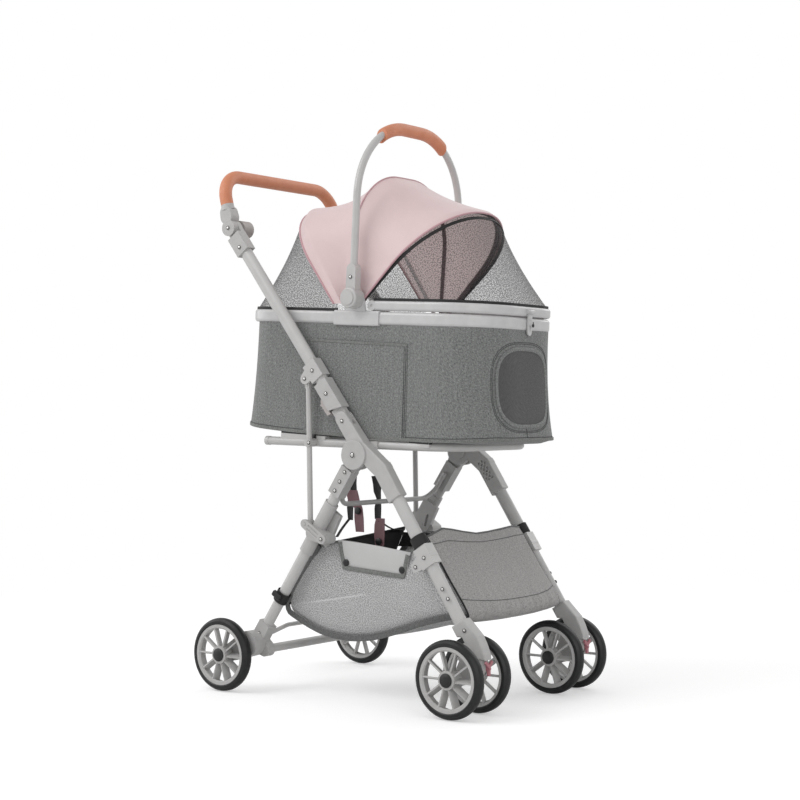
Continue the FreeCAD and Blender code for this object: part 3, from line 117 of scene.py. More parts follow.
def math_node(tree, operation, a, b=0.0):
    """Result of one arithmetic step on sockets or numbers."""
    return add(tree, "ShaderNodeMath", {0: a, 1: b}, operation=operation).outputs[0]


def mixed(tree, share, low, high):
    """Colour between two others by a share from 0 to 1."""
    node = add(tree, "ShaderNodeMix", {0: share, 6: low, 7: high}, data_type="RGBA")
    return node.outputs[2]


def noise(tree, where, grain_mm, detail=2.0, rough=0.5):
    """Noise from 0 to 1 on a position socket: its grains have one size in mm, or one along each axis."""
    sizes = grain_mm if isinstance(grain_mm, tuple) else (grain_mm,) * 3
    scaled = add(tree, "ShaderNodeMapping", {"Vector": where, "Scale": [1 / (size * MM) for size in sizes]})
    return add(tree, "ShaderNodeTexNoise", {"Vector": scaled.outputs[0], "Scale": 1.0,
                                            "Detail": detail, "Roughness": rough}).outputs["Fac"]


def ranged(tree, value, low, high, new_low=0.0, new_high=1.0):
    """Value mapped from one range to another, clamped."""
    return add(tree, "ShaderNodeMapRange", {0: value, 1: low, 2: high, 3: new_low, 4: new_high}).outputs[0]


def bumped(tree, height, depth_mm, strength=0.5):
    """Normal tilted by the slope of a height, which is drawn at a depth in mm."""
    return add(tree, "ShaderNodeBump", {"Height": height, "Distance": depth_mm * MM,
                                        "Strength": strength}).outputs[0]


def strength_of_white(tree):
    """Full white where the camera, metal or glass looks at the backdrop, and softer as a light."""
    rays = add(tree, "ShaderNodeLightPath")
    seen = math_node(tree, "MAXIMUM", rays.outputs["Is Camera Ray"], rays.outputs["Is Transmission Ray"])
    return ranged(tree, seen, 0.0, 1.0, SKY_STRENGTH, 1.0)


def object_place(tree):
    """Place on the piece, in metres."""
    return add(tree, "ShaderNodeTexCoord").outputs["Object"]


def times(colour, factors):
    """Colour darkened by one factor, or by one for each channel."""
    each = factors if isinstance(factors, tuple) else (factors,) * 3
    return [value * factor for value, factor in zip(colour[:3], each)] + [1.0]


def finish(tree, out, **inputs):
    """Principled shader on the material's output; an input's name has underscores for its spaces."""
    values = {key.replace("_", " "): value for key, value in inputs.items()}
    shader = add(tree, "ShaderNodeBsdfPrincipled", values)
    tree.links.new(shader.outputs[0], out.inputs[0])


def cloth_place(tree):
    """The piece's own UV map, in metres of cloth."""
    return add(tree, "ShaderNodeUVMap", uv_map="cloth").outputs[0]


# ------------------------------------------------------------------ materials
def painted_aluminium(colour):
    """Powder-coated aluminium: pale grey satin with the coat's faint orange peel and soft sheen."""
    material, tree, out = new_material("powder_coated_aluminium")
    place = object_place(tree)
    tone = ranged(tree, noise(tree, place, 28.6), 0.3, 0.7)
    peel = noise(tree, place, 1.11, 1.0)
    gloss = ranged(tree, noise(tree, place, 16.7), 0.3, 0.7, 0.30, 0.38)
    finish(tree, out, Base_Color=mixed(tree, tone, times(colour, 0.95), colour), Roughness=gloss, IOR=1.5,
           Normal=bumped(tree, peel, 0.03, 0.25), Coat_Weight=0.25, Coat_Roughness=0.18)
    return material


def moulded_nylon(name, colour, rough=0.48):
    """Injection-moulded nylon: fine spark-eroded grain, a little darker in its flow marks."""
    material, tree, out = new_material(name)
    place = object_place(tree)
    tone = ranged(tree, noise(tree, place, 18.2, 3.0), 0.25, 0.75)
    grain = noise(tree, place, 0.625, 1.0)
    gloss = ranged(tree, grain, 0.2, 0.8, rough - 0.05, rough + 0.07)
    finish(tree, out, Base_Color=mixed(tree, tone, times(colour, 0.90), colour), Roughness=gloss, IOR=1.53,
           Normal=bumped(tree, grain, 0.05, 0.3))
    return material


def waxed_leather(colour):
    """Waxed split leather: pebbles 2 mm across with darker pores, glossier where it is handled."""
    material, tree, out = new_material("waxed_tan_leather")
    place = object_place(tree)
    pebble_mm = 1.92
    patches = ranged(tree, noise(tree, place, 35.7, 3.0), 0.3, 0.7)
    base = mixed(tree, patches, times(colour, (0.78, 0.70, 0.66)), colour)
    cells = add(tree, "ShaderNodeTexVoronoi", {"Vector": place, "Scale": 1 / (pebble_mm * MM)},
                feature="DISTANCE_TO_EDGE").outputs["Distance"]
    pores = ranged(tree, cells, 0.0, 0.25)
    creases = math_node(tree, "MULTIPLY", noise(tree, place, 4.17, 3.0), 0.6)
    grain = math_node(tree, "ADD", pores, creases)
    gloss = ranged(tree, patches, 0.0, 1.0, 0.52, 0.40)
    finish(tree, out, Base_Color=mixed(tree, pores, times(colour, 0.78), base), Roughness=gloss, IOR=1.5,
           Normal=bumped(tree, grain, 0.25, 0.45))
    return material


def twill(name, colour, dark=0.86, pitch_mm=1.6, sheen=0.35, rough=0.62, painted_glow=0.0):
    """Woven polyester twill: fine diagonal ribs, soft sheen at grazing angles, slight tone drift.

    The real ribs are 0.4 mm apart; they are drawn at the pitch given so that they show.  The painted glow is
    emission of the cloth's own colour, painted light that stands in for the daylight coming through the thin roof.
    """
    material, tree, out = new_material(name)
    place = cloth_place(tree)
    parts = add(tree, "ShaderNodeSeparateXYZ", {0: place})
    slant = math_node(tree, "ADD", parts.outputs[0], parts.outputs[1])
    turns = math_node(tree, "MULTIPLY", slant, 2 * math.pi / (pitch_mm * MM))
    rib = ranged(tree, math_node(tree, "SINE", turns), -1.0, 1.0)
    drift = noise(tree, place, 55.6, 2.0)
    shade = math_node(tree, "ADD", math_node(tree, "MULTIPLY", rib, 0.35),
                      math_node(tree, "MULTIPLY", drift, 0.65))
    base = mixed(tree, shade, times(colour, dark), colour)
    # painted light: the cloth emits its own colour to stand for daylight through the roof
    lit = {"Emission_Color": base, "Emission_Strength": painted_glow} if painted_glow else {}
    finish(tree, out, Base_Color=base, Roughness=rough, IOR=1.5, Normal=bumped(tree, rib, 0.12, 0.3),
           Sheen_Weight=sheen, Sheen_Roughness=0.4, **lit)
    return material


def heather(name, light, dark):
    """Melange oxford cloth: pale and dark yarns crossing, each yarn broken into short flecks.

    Yarns are 0.6 mm apart on the real cloth and are drawn at about 2 mm so that they show.  Slow
    streaks run down the cloth where the warp's dye changes.
    """
    material, tree, out = new_material(name)
    place = cloth_place(tree)
    warp = noise(tree, place, (1.786, 4.762, 1000.0), 2.0, 0.6)
    weft = noise(tree, place, (4.545, 1.786, 1000.0), 2.0, 0.6)
    streak = noise(tree, place, (5.0, 62.5, 1000.0), 2.0, 0.6)
    flecks = math_node(tree, "ADD", math_node(tree, "MULTIPLY", warp, 0.5),
                       math_node(tree, "MULTIPLY", weft, 0.5))
    tone = math_node(tree, "ADD", math_node(tree, "MULTIPLY", flecks, 0.88),
                     math_node(tree, "MULTIPLY", streak, 0.12))
    share = ranged(tree, tone, 0.37, 0.63)
    finish(tree, out, Base_Color=mixed(tree, share, dark, light), Roughness=0.9, IOR=1.45,
           Normal=bumped(tree, flecks, 0.6, 0.4), Sheen_Weight=0.15, Sheen_Roughness=0.6)
    return material


def net(name, colour, cover, pitch_mm, slant=0.0, swing=0.65):
    """Knitted polyester net: threads round small open holes, seen through between them.

    The real holes are about 1 mm apart; they are drawn at the pitch given so that they show, and a
    little unevenly placed so that they raise no false pattern from afar.  A slant above 0 adds the
    soft diagonal bars of a spacer net, and the swing is how much more open the holes are than the
    threads.
    """
    bar_mm = 6.0
    material, tree, out = new_material(name)
    place = cloth_place(tree)
    holes = add(tree, "ShaderNodeTexVoronoi",
                {"Vector": place, "Scale": 1 / (pitch_mm * MM), "Randomness": 0.75},
                voronoi_dimensions="2D").outputs["Distance"]
    solid = ranged(tree, holes, 0.25, 0.65, cover * (1 - swing), cover * (1 + swing))
    facing = add(tree, "ShaderNodeLayerWeight", {"Blend": 0.25}).outputs["Facing"]
    solid = math_node(tree, "ADD", solid, math_node(tree, "MULTIPLY", facing, 0.3))
    tone = ranged(tree, noise(tree, place, 16.7, 3.0), 0.3, 0.7)
    if slant:
        parts = add(tree, "ShaderNodeSeparateXYZ", {0: place})
        run = math_node(tree, "ADD", math_node(tree, "MULTIPLY", parts.outputs[0], 0.8), parts.outputs[1])
        bars = math_node(tree, "SINE", math_node(tree, "MULTIPLY", run, 2 * math.pi / (bar_mm * MM)))
        tone = math_node(tree, "ADD", math_node(tree, "MULTIPLY", tone, 1.0 - slant),
                         math_node(tree, "MULTIPLY", ranged(tree, bars, -1.0, 1.0), slant))
    finish(tree, out, Base_Color=mixed(tree, tone, times(colour, 0.86), colour), Roughness=0.75, IOR=1.45,
           Alpha=solid)
    return material


def moulded_foam(name, colour, rough):
    """Moulded foam rubber: near black with a fine skin grain and a little scuffed dust."""
    material, tree, out = new_material(name)
    place = object_place(tree)
    grain = noise(tree, place, 1.43, 2.0)
    dust = ranged(tree, noise(tree, place, 11.1, 3.0), 0.45, 0.8)
    dusty = [value * 1.6 + 0.003 for value in colour[:3]] + [1.0]
    finish(tree, out, Base_Color=mixed(tree, dust, colour, dusty), Roughness=rough, IOR=1.5,
           Normal=bumped(tree, grain, 0.12, 0.3))
    return material


def webbing(name, colour, pitch_mm=2.0):
    """Woven polypropylene webbing: ribs across the strap and a slight shine."""
    material, tree, out = new_material(name)
    place = cloth_place(tree)
    parts = add(tree, "ShaderNodeSeparateXYZ", {0: place})
    turns = math_node(tree, "MULTIPLY", parts.outputs[1], 2 * math.pi / (pitch_mm * MM))
    rib = ranged(tree, math_node(tree, "SINE", turns), -1.0, 1.0)
    finish(tree, out, Base_Color=mixed(tree, rib, times(colour, 0.6), colour), Roughness=0.6, IOR=1.5,
           Normal=bumped(tree, rib, 0.3, 0.5))
    return material


def plated_steel(name, colour, rough):
    """Nickel-plated steel: bright with a faint turned grain."""
    material, tree, out = new_material(name)
    place = object_place(tree)
    grain = noise(tree, place, 0.833, 1.0)
    finish(tree, out, Base_Color=colour, Metallic=1.0, Normal=bumped(tree, grain, 0.02, 0.2),
           Roughness=ranged(tree, grain, 0.2, 0.8, rough - 0.06, rough + 0.06))
    return material


MATERIALS = {}


def make_materials(colours):
    """Every finish of the stroller, once."""
    if MATERIALS:
        return MATERIALS
    MATERIALS.update({
        "paint": painted_aluminium(tuple(colours.frame) + (1.0,)),
        "nylon": moulded_nylon("moulded_grey_nylon", tuple(colours.castings) + (1.0,)),
        "nylon_warm": moulded_nylon("moulded_warm_grey_nylon", linear("#b3adab")),
        "nylon_black": moulded_nylon("moulded_black_nylon", linear("#1b1b1c"), 0.42),
        "nylon_pink": moulded_nylon("moulded_rose_nylon", linear("#b0717a"), 0.36),
        "rail": moulded_nylon("gloss_rail_abs", linear("#cbcaca"), 0.2),
        "leather": waxed_leather(tuple(colours.leather) + (1.0,)),
        "canopy": twill("rose_polyester_twill", tuple(colours.canopy) + (1.0,)),
        "piping": twill("rose_piping_twill", linear("#c79da3"), 0.85),
        # painted light: the lining glows to stand for daylight that comes through the roof
        "lining": twill("mauve_lining_taffeta", linear("#c3b4b3"), 0.9, 2.4, 0.2, painted_glow=0.55),
        "tape": twill("mauve_seam_tape", linear("#6d585c"), 0.8, 2.4, 0.1),
        "heather": heather("heather_oxford_cloth", linear("#929492"), linear("#505251")),
        "heather_pale": heather("pale_heather_oxford", linear("#b1afae"), linear("#7d7b7a")),
        "heather_tape": heather("heather_binding_tape", linear("#8a8c89"), linear("#565856")),
        "tape_grey": heather("grey_edge_tape", linear("#747574"), linear("#454645")),
        # partly thread colour, partly painted shade of the stitched grooves
        "thread": moulded_nylon("dark_sewing_thread", linear("#4a4c4b"), 0.8),
        "net_black": net("black_polyester_net", linear("#454343"), 0.21, 3.0, 0.0, 0.8),
        "net_window": heather("black_window_net", linear("#5e5e5e"), linear("#3c3c3c")),
        "net_grey": net("grey_basket_net", linear("#c9c9c9"), 0.80, 2.6, 0.5),
        "cloth_black": twill("black_lining_cloth", linear("#2b2b2b"), 0.7, 2.4, 0.1, 0.8),
        "tape_black": webbing("black_binding_tape", linear("#1d1c1c")),
        "webbing": webbing("black_webbing", linear("#1a1a1a")),
        "webbing_mauve": webbing("mauve_webbing", linear("#8f6a71")),
        "cloth_pale": twill("pale_flap_cloth", linear("#c8c8c7"), 0.86, 2.4, 0.1, 0.75),
        "tyre": moulded_foam("moulded_black_foam", linear("#101111"), 0.42),
        "steel": plated_steel("nickel_plated_steel", linear("#e2e1df"), 0.22),
        "steel_dark": plated_steel("blackened_steel", linear("#3c3a39"), 0.4),
        # painted shade: this black stands for the shade inside the clasp's keyhole
        "black": moulded_nylon("recess_black_nylon", linear("#141414"), 0.6),
    })
    return MATERIALS


# ------------------------------------------------------------------ mesh helpers
def attach(piece, body):
    """Let a piece ride on a body; given two as (body, body, start, end), its transform is only baked in and it
    rides on neither.
    """
    if isinstance(body, tuple):
        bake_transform(piece)
    elif body:
        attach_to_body(piece, body)
    return piece


def put_mesh(name, points, faces, material, body, uv=None, crease_deg=50.0):
    """Object from points, faces and cloth coordinates, smooth but for its creases, on a body."""
    points = np.asarray(points, float).reshape(-1, 3)
    mesh = bpy.data.meshes.new(name)
    mesh.from_pydata(points.tolist(), [], [list(face) for face in faces])
    mesh.update()
    if uv is not None:
        layer = mesh.uv_layers.new(name="cloth")
        corners = np.empty(len(mesh.loops), np.int32)
        mesh.loops.foreach_get("vertex_index", corners)
        layer.data.foreach_set("uv", np.asarray(uv).reshape(-1, 2)[corners].astype(np.float32).ravel())
    mesh.polygons.foreach_set("use_smooth", np.ones(len(mesh.polygons), bool))
    mesh.set_sharp_from_angle(angle=math.radians(crease_deg))
    mesh.materials.append(MATERIALS[material])
    piece = bpy.data.objects.new(name, mesh)
    bpy.context.scene.collection.objects.link(piece)
    return attach(piece, body)


def grid_faces(rows, columns, wrap_rows=False, wrap_columns=False):
    """Quads of a grid of points, row by row."""
    r = np.arange(rows if wrap_rows else rows - 1)[:, None]
    c = np.arange(columns if wrap_columns else columns - 1)[None, :]
    r1, c1 = (r + 1) % rows, (c + 1) % columns
    quads = np.stack([r * columns + c, r * columns + c1, r1 * columns + c1, r1 * columns + c], -1)
    return quads.reshape(-1, 4)


def tube_faces(rows, columns):
    """Quads round a tube of closed rings, with both its ends capped."""
    last = (rows - 1) * columns
    sides = grid_faces(rows, columns, wrap_columns=True).tolist()
    return sides + [list(range(columns))[::-1], [last + k for k in range(columns)]]


def lengths_along(points, axis):
    """Running length along one axis of a grid of points."""
    steps = np.linalg.norm(np.diff(points, axis=axis), axis=-1)
    pad = [(0, 0), (0, 0)]
    pad[axis] = (1, 0)
    return np.pad(np.cumsum(steps, axis=axis), pad)


def cloth_uv(points):
    """Cloth coordinates of a grid in metres: mean running length down the rows and across the columns."""
    down = lengths_along(points, 0)
    across = lengths_along(points, 1)
    middle = across - across[:, across.shape[1] // 2][:, None]
    return np.stack([middle, down], -1)


def grid_normals(points):
    """Unit normals of a grid, columns crossed with rows."""
    normal = np.cross(np.gradient(points, axis=1), np.gradient(points, axis=0))
    return normal / np.maximum(np.linalg.norm(normal, axis=-1), 1e-12)[..., None]


def cloth_sheet(name, points, material, body, thick_mm=1.2, flip=False):
    """Closed sheet of cloth: the grid is its outer face, and its back lies one thickness under it."""
    if flip:
        points = points[:, ::-1]
    rows, columns = points.shape[:2]
    count = rows * columns
    back = points - grid_normals(points) * thick_mm * MM
    faces = grid_faces(rows, columns)
    index = np.arange(count).reshape(rows, columns)
    edge = np.concatenate([index[0, :-1], index[:-1, -1], index[-1, :0:-1], index[:0:-1, 0]])
    after = np.roll(edge, -1)
    rim = np.stack([after, edge, edge + count, after + count], -1)
    uv = cloth_uv(points).reshape(-1, 2)
    return put_mesh(name, np.concatenate([points.reshape(-1, 3), back.reshape(-1, 3)]),
                    np.concatenate([faces, faces[:, ::-1] + count, rim]), material, body,
                    np.concatenate([uv, uv]))


def both_sides(make):
    """Call a maker for the right-hand side, then for the left-hand side."""
    return [make("right", 1.0), make("left", -1.0)]


def smooth_path(points, count, closed=False):
    """Catmull-Rom curve through control points, resampled at even steps of length."""
    p = np.asarray(points, float)
    if closed:
        p = np.vstack([p[-1], p, p[0], p[1]])
    else:
        p = np.vstack([2 * p[0] - p[1], p, 2 * p[-1] - p[-2]])
    t = np.linspace(0, 1, 16, endpoint=False)[:, None]
    a, b, c, d = p[:-3, None], p[1:-2, None], p[2:-1, None], p[3:, None]
    square = (2 * a - 5 * b + 4 * c - d) * t ** 2
    cube = (3 * b - a - 3 * c + d) * t ** 3
    curve = (0.5 * (2 * b + (c - a) * t + square + cube)).reshape(-1, 3)
    curve = np.vstack([curve, curve[0] if closed else p[-2]])
    return resample(curve, count, closed)


def resample(curve, count, closed=False):
    """Points at even steps of length along a polyline."""
    run = np.concatenate([[0], np.cumsum(np.linalg.norm(np.diff(curve, axis=0), axis=1))])
    wanted = np.linspace(0, run[-1], count + (1 if closed else 0))
    if closed:
        wanted = wanted[:-1]
    return np.stack([np.interp(wanted, run, curve[:, k]) for k in range(3)], -1)


def carried_frames(path, closed=False, up=(0, 0, 1)):
    """Tangent, side and normal at each point of a path: side = tangent x up, normal = side x tangent."""
    ahead = np.roll(path, -1, 0) - np.roll(path, 1, 0)
    if not closed:
        ahead[0], ahead[-1] = path[1] - path[0], path[-1] - path[-2]
    ahead /= np.linalg.norm(ahead, axis=1)[:, None]
    side = np.cross(ahead, np.asarray(up, float))
    weak = np.linalg.norm(side, axis=1) < 1e-3
    side[weak] = np.cross(ahead[weak], (1.0, 0.0, 0.0))
    side /= np.linalg.norm(side, axis=1)[:, None]
    return ahead, side, np.cross(side, ahead)


def swept(name, path, section, material, body, closed=False, up=(0, 0, 1)):
    """Section carried along a path: point = path + x * side + y * normal, the ends closed flat."""
    side, normal = carried_frames(path, closed, up)[1:]
    across, outwards = section[None, :, 0, None], section[None, :, 1, None]
    ring = path[:, None] + across * side[:, None] + outwards * normal[:, None]
    rows, columns = ring.shape[:2]
    run = lengths_along(np.repeat(path[:, None], 2, 1), 0)[:, 0]
    girth = np.linalg.norm(np.roll(section, -1, 0) - section, axis=1)
    girth = np.concatenate([[0], np.cumsum(girth)])[:columns]
    uv = np.stack(np.broadcast_arrays(girth[None, :], run[:, None]), -1)
    faces = grid_faces(rows, columns, True, True) if closed else tube_faces(rows, columns)
    return put_mesh(name, ring, faces, material, body, uv)


def turned(name, centre, axis, profile, material, body, count=32):
    """Solid of revolution: (radius, height) pairs in millimetres turned about an axis, poles closed."""
    axis = np.asarray(axis, float)
    first = np.cross(axis, (0.0, 0.0, 1.0) if abs(axis[2]) < 0.9 else (1.0, 0.0, 0.0))
    first /= np.linalg.norm(first)
    second = np.cross(axis, first)
    a = np.linspace(0, 2 * math.pi, count, endpoint=False)
    ring = np.cos(a)[:, None] * first + np.sin(a)[:, None] * second
    profile = np.asarray(profile, float) * MM
    points = centre + profile[:, 0, None, None] * ring[None] + profile[:, 1, None, None] * axis
    uv = np.zeros((len(profile) * count, 2))
    return put_mesh(name, points, tube_faces(len(profile), count), material, body, uv)


def block(name, centre, along, across, sizes, material, body, round_mm=1.0):
    """Box with bevelled edges about a centre: sizes along, across and square to both, in millimetres.

    Four eight-cornered loops: the plan drawn in by the bevel at both ends, and whole between them.
    """
    along = np.asarray(along, float) / np.linalg.norm(along)
    across = np.asarray(across, float) / np.linalg.norm(across)
    third = np.cross(along, across)
    a, b, c = (np.asarray(sizes, float) / 2) * MM
    r = round_mm * MM
    levels = [(-c, r), (-c + r, 0.0), (c - r, 0.0), (c, r)]
    loops = []
    for level, inset in levels:
        x, y = a - inset, b - inset
        cut = min(r, x * 0.9, y * 0.9)
        plan = [(x, -y + cut), (x, y - cut), (x - cut, y), (-x + cut, y), (-x, y - cut), (-x, -y + cut),
                (-x + cut, -y), (x - cut, -y)]
        loops.append([centre + along * u + across * v + third * level for u, v in plan])
    rows, columns = len(levels), len(plan)
    return put_mesh(name, np.array(loops), tube_faces(rows, columns), material, body,
                    np.zeros((rows * columns, 2)), 30.0)


def round_section(radius, count=12):
    """Circle of a radius in millimetres, in the section's plane."""
    a = np.linspace(0, 2 * math.pi, count, endpoint=False)
    return np.stack([np.cos(a), np.sin(a)], -1) * radius * MM


def flat_section(width, thick):
    """Rounded strap section: superellipse of a width and thickness in millimetres."""
    a = np.linspace(0, 2 * math.pi, 16, endpoint=False)
    c, s = np.cos(a), np.sin(a)
    power = 0.35
    return np.stack([np.sign(c) * np.abs(c) ** power * width / 2,
                     np.sign(s) * np.abs(s) ** power * thick / 2], -1) * MM


def from_tray(x, y, z):
    """Points from tray coordinates in millimetres: origin + x * ahead + z * up, with y as it is."""
    x, y, z = np.broadcast_arrays(*(np.asarray(v, float) * MM for v in (x, y, z)))
    return (TRAY_ORIGIN + x[..., None] * TRAY_AHEAD + z[..., None] * TRAY_UP
            + y[..., None] * np.array([0.0, 1.0, 0.0]))


def from_hub(dx, y, z):
    """Points from a distance ahead of the hub, a side and a height above the floor, in millimetres."""
    x, y, z = np.broadcast_arrays(*(np.asarray(v, float) * MM for v in (dx, y, z)))
    return np.stack([x + HUB[0], y, z], -1)


# ------------------------------------------------------------------ stroller shapes
HOOP_X, HOOP_Z = -51.0, 247.0              # the hoops' common axis, in tray millimetres
# Each line over the canopy: its slope in degrees, then its reach, its corners' radius and its foot's shift
# in mm.  The tail is the cloth's rear edge, and the other three are hoops.
# Lines over the hoops: angle above ahead in degrees, reach from the axis, bend radius and place ahead
# of the hoops' axis in mm. No tube follows the tail, where the cloth ends behind the rear hoop.
HOOPS = {"tail": (128.0, 280.0, 138.0, -20.0),
         "rear": (125.0, 272.0, 90.0, 0.0),
         "mid": (89.0, 288.0, 130.0, 0.0),
         "front": (49.0, 295.0, 150.0, 0.0)}
HOOP_TUBE_R = 4.0
HOOP_HALF = 155.5                          # from the hoops' middle plane to their feet
LID_X = 6.0                                # lid hinge
RAIL_TOP, LID_TOP = 260.0, 282.0
RAIL_REAR, RAIL_FRONT = -336.0, 270.0      # ends of the lower rail
REAR_NET_X = -80.0                         # where the rear net's foot starts on the rail


def bow(length, half, bend, start, count):
    """Bow in its own plane: straight legs, quarter-circle corners and a straight top.

    Returns (distance from the axis, side) pairs at even steps, from the right foot to the left.
    """
    q = np.linspace(0, math.pi / 2, 24)
    leg = np.stack([np.linspace(start, length - bend, 12), np.full(12, -half)], -1)
    corner = np.stack([length - bend + bend * np.sin(q), -half + bend - bend * np.cos(q)], -1)
    top_side = np.linspace(-(half - bend), 0, 8)
    top = np.stack([np.full(8, length), top_side], -1)
    right = np.vstack([leg[:-1], corner[:-1], top])
    whole = np.vstack([right, (right * [1, -1])[::-1][1:]])
    line = resample(np.column_stack([whole, np.zeros(len(whole))]), count)
    return line[:, :2]


def hoop_line(name, lift=0.0, start=34.0, count=121, turn=0.0):
    """Points over one hoop, from foot to foot, lifted off its centre line and turned rearwards."""
    angle, length, bend, shift = HOOPS[name]
    reach, side = bow(length + lift, HOOP_HALF + lift, bend + lift, start, count).T
    a = math.radians(angle + turn)
    return from_tray(HOOP_X + shift + reach * math.cos(a), side, HOOP_Z + reach * math.sin(a))


def panel(first, last, rows, sag_mm, towards):
    """Taut cloth between two lines: straight threads from line to line, drawn in by a parabola."""
    t = np.linspace(0, 1, rows)[:, None, None]
    flat = first[None] * (1 - t) + last[None] * t
    pull = 4 * t * (1 - t) * sag_mm * MM
    inwards = towards - flat
    inwards /= np.linalg.norm(inwards, axis=-1)[..., None]
    return flat + inwards * pull


def heading(angle_deg):
    """Unit vector at an angle above straight ahead, in the x-z plane."""
    a = math.radians(angle_deg)
    return np.array([math.cos(a), 0.0, math.sin(a)])


def along_slope(origin, angle_deg, along, rear, y):
    """Point a distance along a slope and square to it, in millimetres, at a side y."""
    point = origin + heading(angle_deg) * along * MM + heading(angle_deg + 90) * rear * MM
    return np.array([point[0], y * MM, point[2]])


# Places on the handle, the front leg and the rear leg: along from the joint, to the rear, and to the side.
FRONT_LEG_AHEAD = 44.9     # of the hub, where the front leg's line crosses its height, mm


def on_handle(along, rear, y):
    return along_slope(FOLD, 180 - UPPER_ANGLE, along, rear, y)


def on_front_leg(along, rear, y):
    top = HUB + np.array([FRONT_LEG_AHEAD * MM, 0.0, 0.0])
    return along_slope(top, -LOWER_ANGLE, along, -rear, y)


def on_rear_leg(along, rear, y):
    return along_slope(HUB, 180 + REAR_ANGLE, along, -rear, y)


# The tub's plan in tray millimetres: flat front, round corners, straight sides, round corners, flat rear.
TUB_FRONT_R, TUB_REAR_R = 112.0, 72.0
TUB_LOW, TUB_HIGH = 8.6, 236.0
TUB_REAR, TUB_FRONT, TUB_HALF = -328.5, 268.0, 161.0       # at the top
TUB_FLARE = 12.0                                           # how far the foot may spread
FLARE_REAR, FLARE_FRONT, FLARE_SIDE = 0.75, 1.65, 0.37     # shares of the flare at each face
ROCKER_RISE, ROCKER_RUN, ROCKER_X = 8.5, 290.0, -30.0      # of the foot's edge: rise, half length, middle


def tub_plan(z):
    """Rear end, front end and half width of the tub at a height: it flares out towards its foot."""
    t = np.clip((z - TUB_LOW) / (TUB_HIGH - TUB_LOW), 0, 1)
    flare = TUB_FLARE * (1 - t) ** 2.2
    return TUB_REAR - FLARE_REAR * flare, TUB_FRONT + FLARE_FRONT * flare, TUB_HALF + FLARE_SIDE * flare


def side_run(x, z):
    """Run along the tub's plan, from the middle of its front, to the place x on its straight side."""
    front, half = tub_plan(z)[1:]
    return half - TUB_FRONT_R + TUB_FRONT_R * math.pi / 2 + front - TUB_FRONT_R - x


def tub_half_run(z):
    """Run along the tub's plan from the middle of its front to the middle of its rear."""
    plan = tub_plan(z)
    rear, half = plan[0], plan[2]
    return side_run(rear + TUB_REAR_R, z) + TUB_REAR_R * math.pi / 2 + half - TUB_REAR_R


def on_tub(run, z, lift=0.0):
    """Row-frame points on the tub's outside, lifted off it: run in mm round the plan, right side positive.

    The foot's edge rises towards both ends, by the fourth power of the distance from its middle.
    """
    run, z, lift = np.broadcast_arrays(*(np.asarray(v, float) for v in (run, z, lift)))
    rear, front, half = tub_plan(z)
    u = np.abs(run)
    flat = half - TUB_FRONT_R
    side = flat + TUB_FRONT_R * math.pi / 2
    end = side_run(rear + TUB_REAR_R, z)
    turn = np.clip((u - flat) / TUB_FRONT_R, 0, math.pi / 2)
    turn_rear = np.clip((u - end) / TUB_REAR_R, 0, math.pi / 2)
    back = end + TUB_REAR_R * math.pi / 2
    straight = front - TUB_FRONT_R - (u - side)
    behind = np.where(u < end, straight, rear + TUB_REAR_R * (1 - np.sin(turn_rear)))
    x = np.where(u < side, front - TUB_FRONT_R + TUB_FRONT_R * np.cos(turn), behind)
    y = np.where(u < side, np.minimum(u, flat) + TUB_FRONT_R * np.sin(turn),
                 half - TUB_REAR_R * (1 - np.cos(turn_rear)) - np.clip(u - back, 0, None))
    x = x + np.where(u < side, np.cos(turn), np.where(u < end, 0.0, -np.sin(turn_rear))) * lift
    y = y + np.where(u < side, np.sin(turn), np.cos(turn_rear)) * lift
    t = np.clip((z - TUB_LOW) / (TUB_HIGH - TUB_LOW), 0, 1)
    rise = ROCKER_RISE * np.minimum(np.abs(x - ROCKER_X) / ROCKER_RUN, 1.05) ** 4 * (1 - t) ** 3
    return from_tray(x, np.where(run < 0, y, -y), z + rise)


class StrollerSizes(bpy.types.PropertyGroup):
    canopy_sag: bpy.props.FloatProperty(
        name="Canopy sag", description="How far the cloth is drawn in between two hoops",
        default=0.007, unit="LENGTH")
    cloth_thickness: bpy.props.FloatProperty(
        name="Cloth thickness", description="Thickness of the canopy's cloth",
        default=0.0012, unit="LENGTH")
    rivet_radius: bpy.props.FloatProperty(
        name="Rivet radius", description="Radius of the dark ring round each rivet head",
        default=0.0039, unit="LENGTH")


class StrollerColours(bpy.types.PropertyGroup):
    frame: bpy.props.FloatVectorProperty(
        name="Frame", description="Powder coat on the tubes", subtype="COLOR",
        default=linear("#bfbebd")[:3])
    castings: bpy.props.FloatVectorProperty(
        name="Castings", description="Moulded joints and wheels", subtype="COLOR",
        default=linear("#b8b7b6")[:3])
    leather: bpy.props.FloatVectorProperty(
        name="Leather", description="Grips", subtype="COLOR", default=linear("#e2936f")[:3])
    canopy: bpy.props.FloatVectorProperty(
        name="Canopy", description="Roof cloth", subtype="COLOR", default=linear("#e4cccc")[:3])


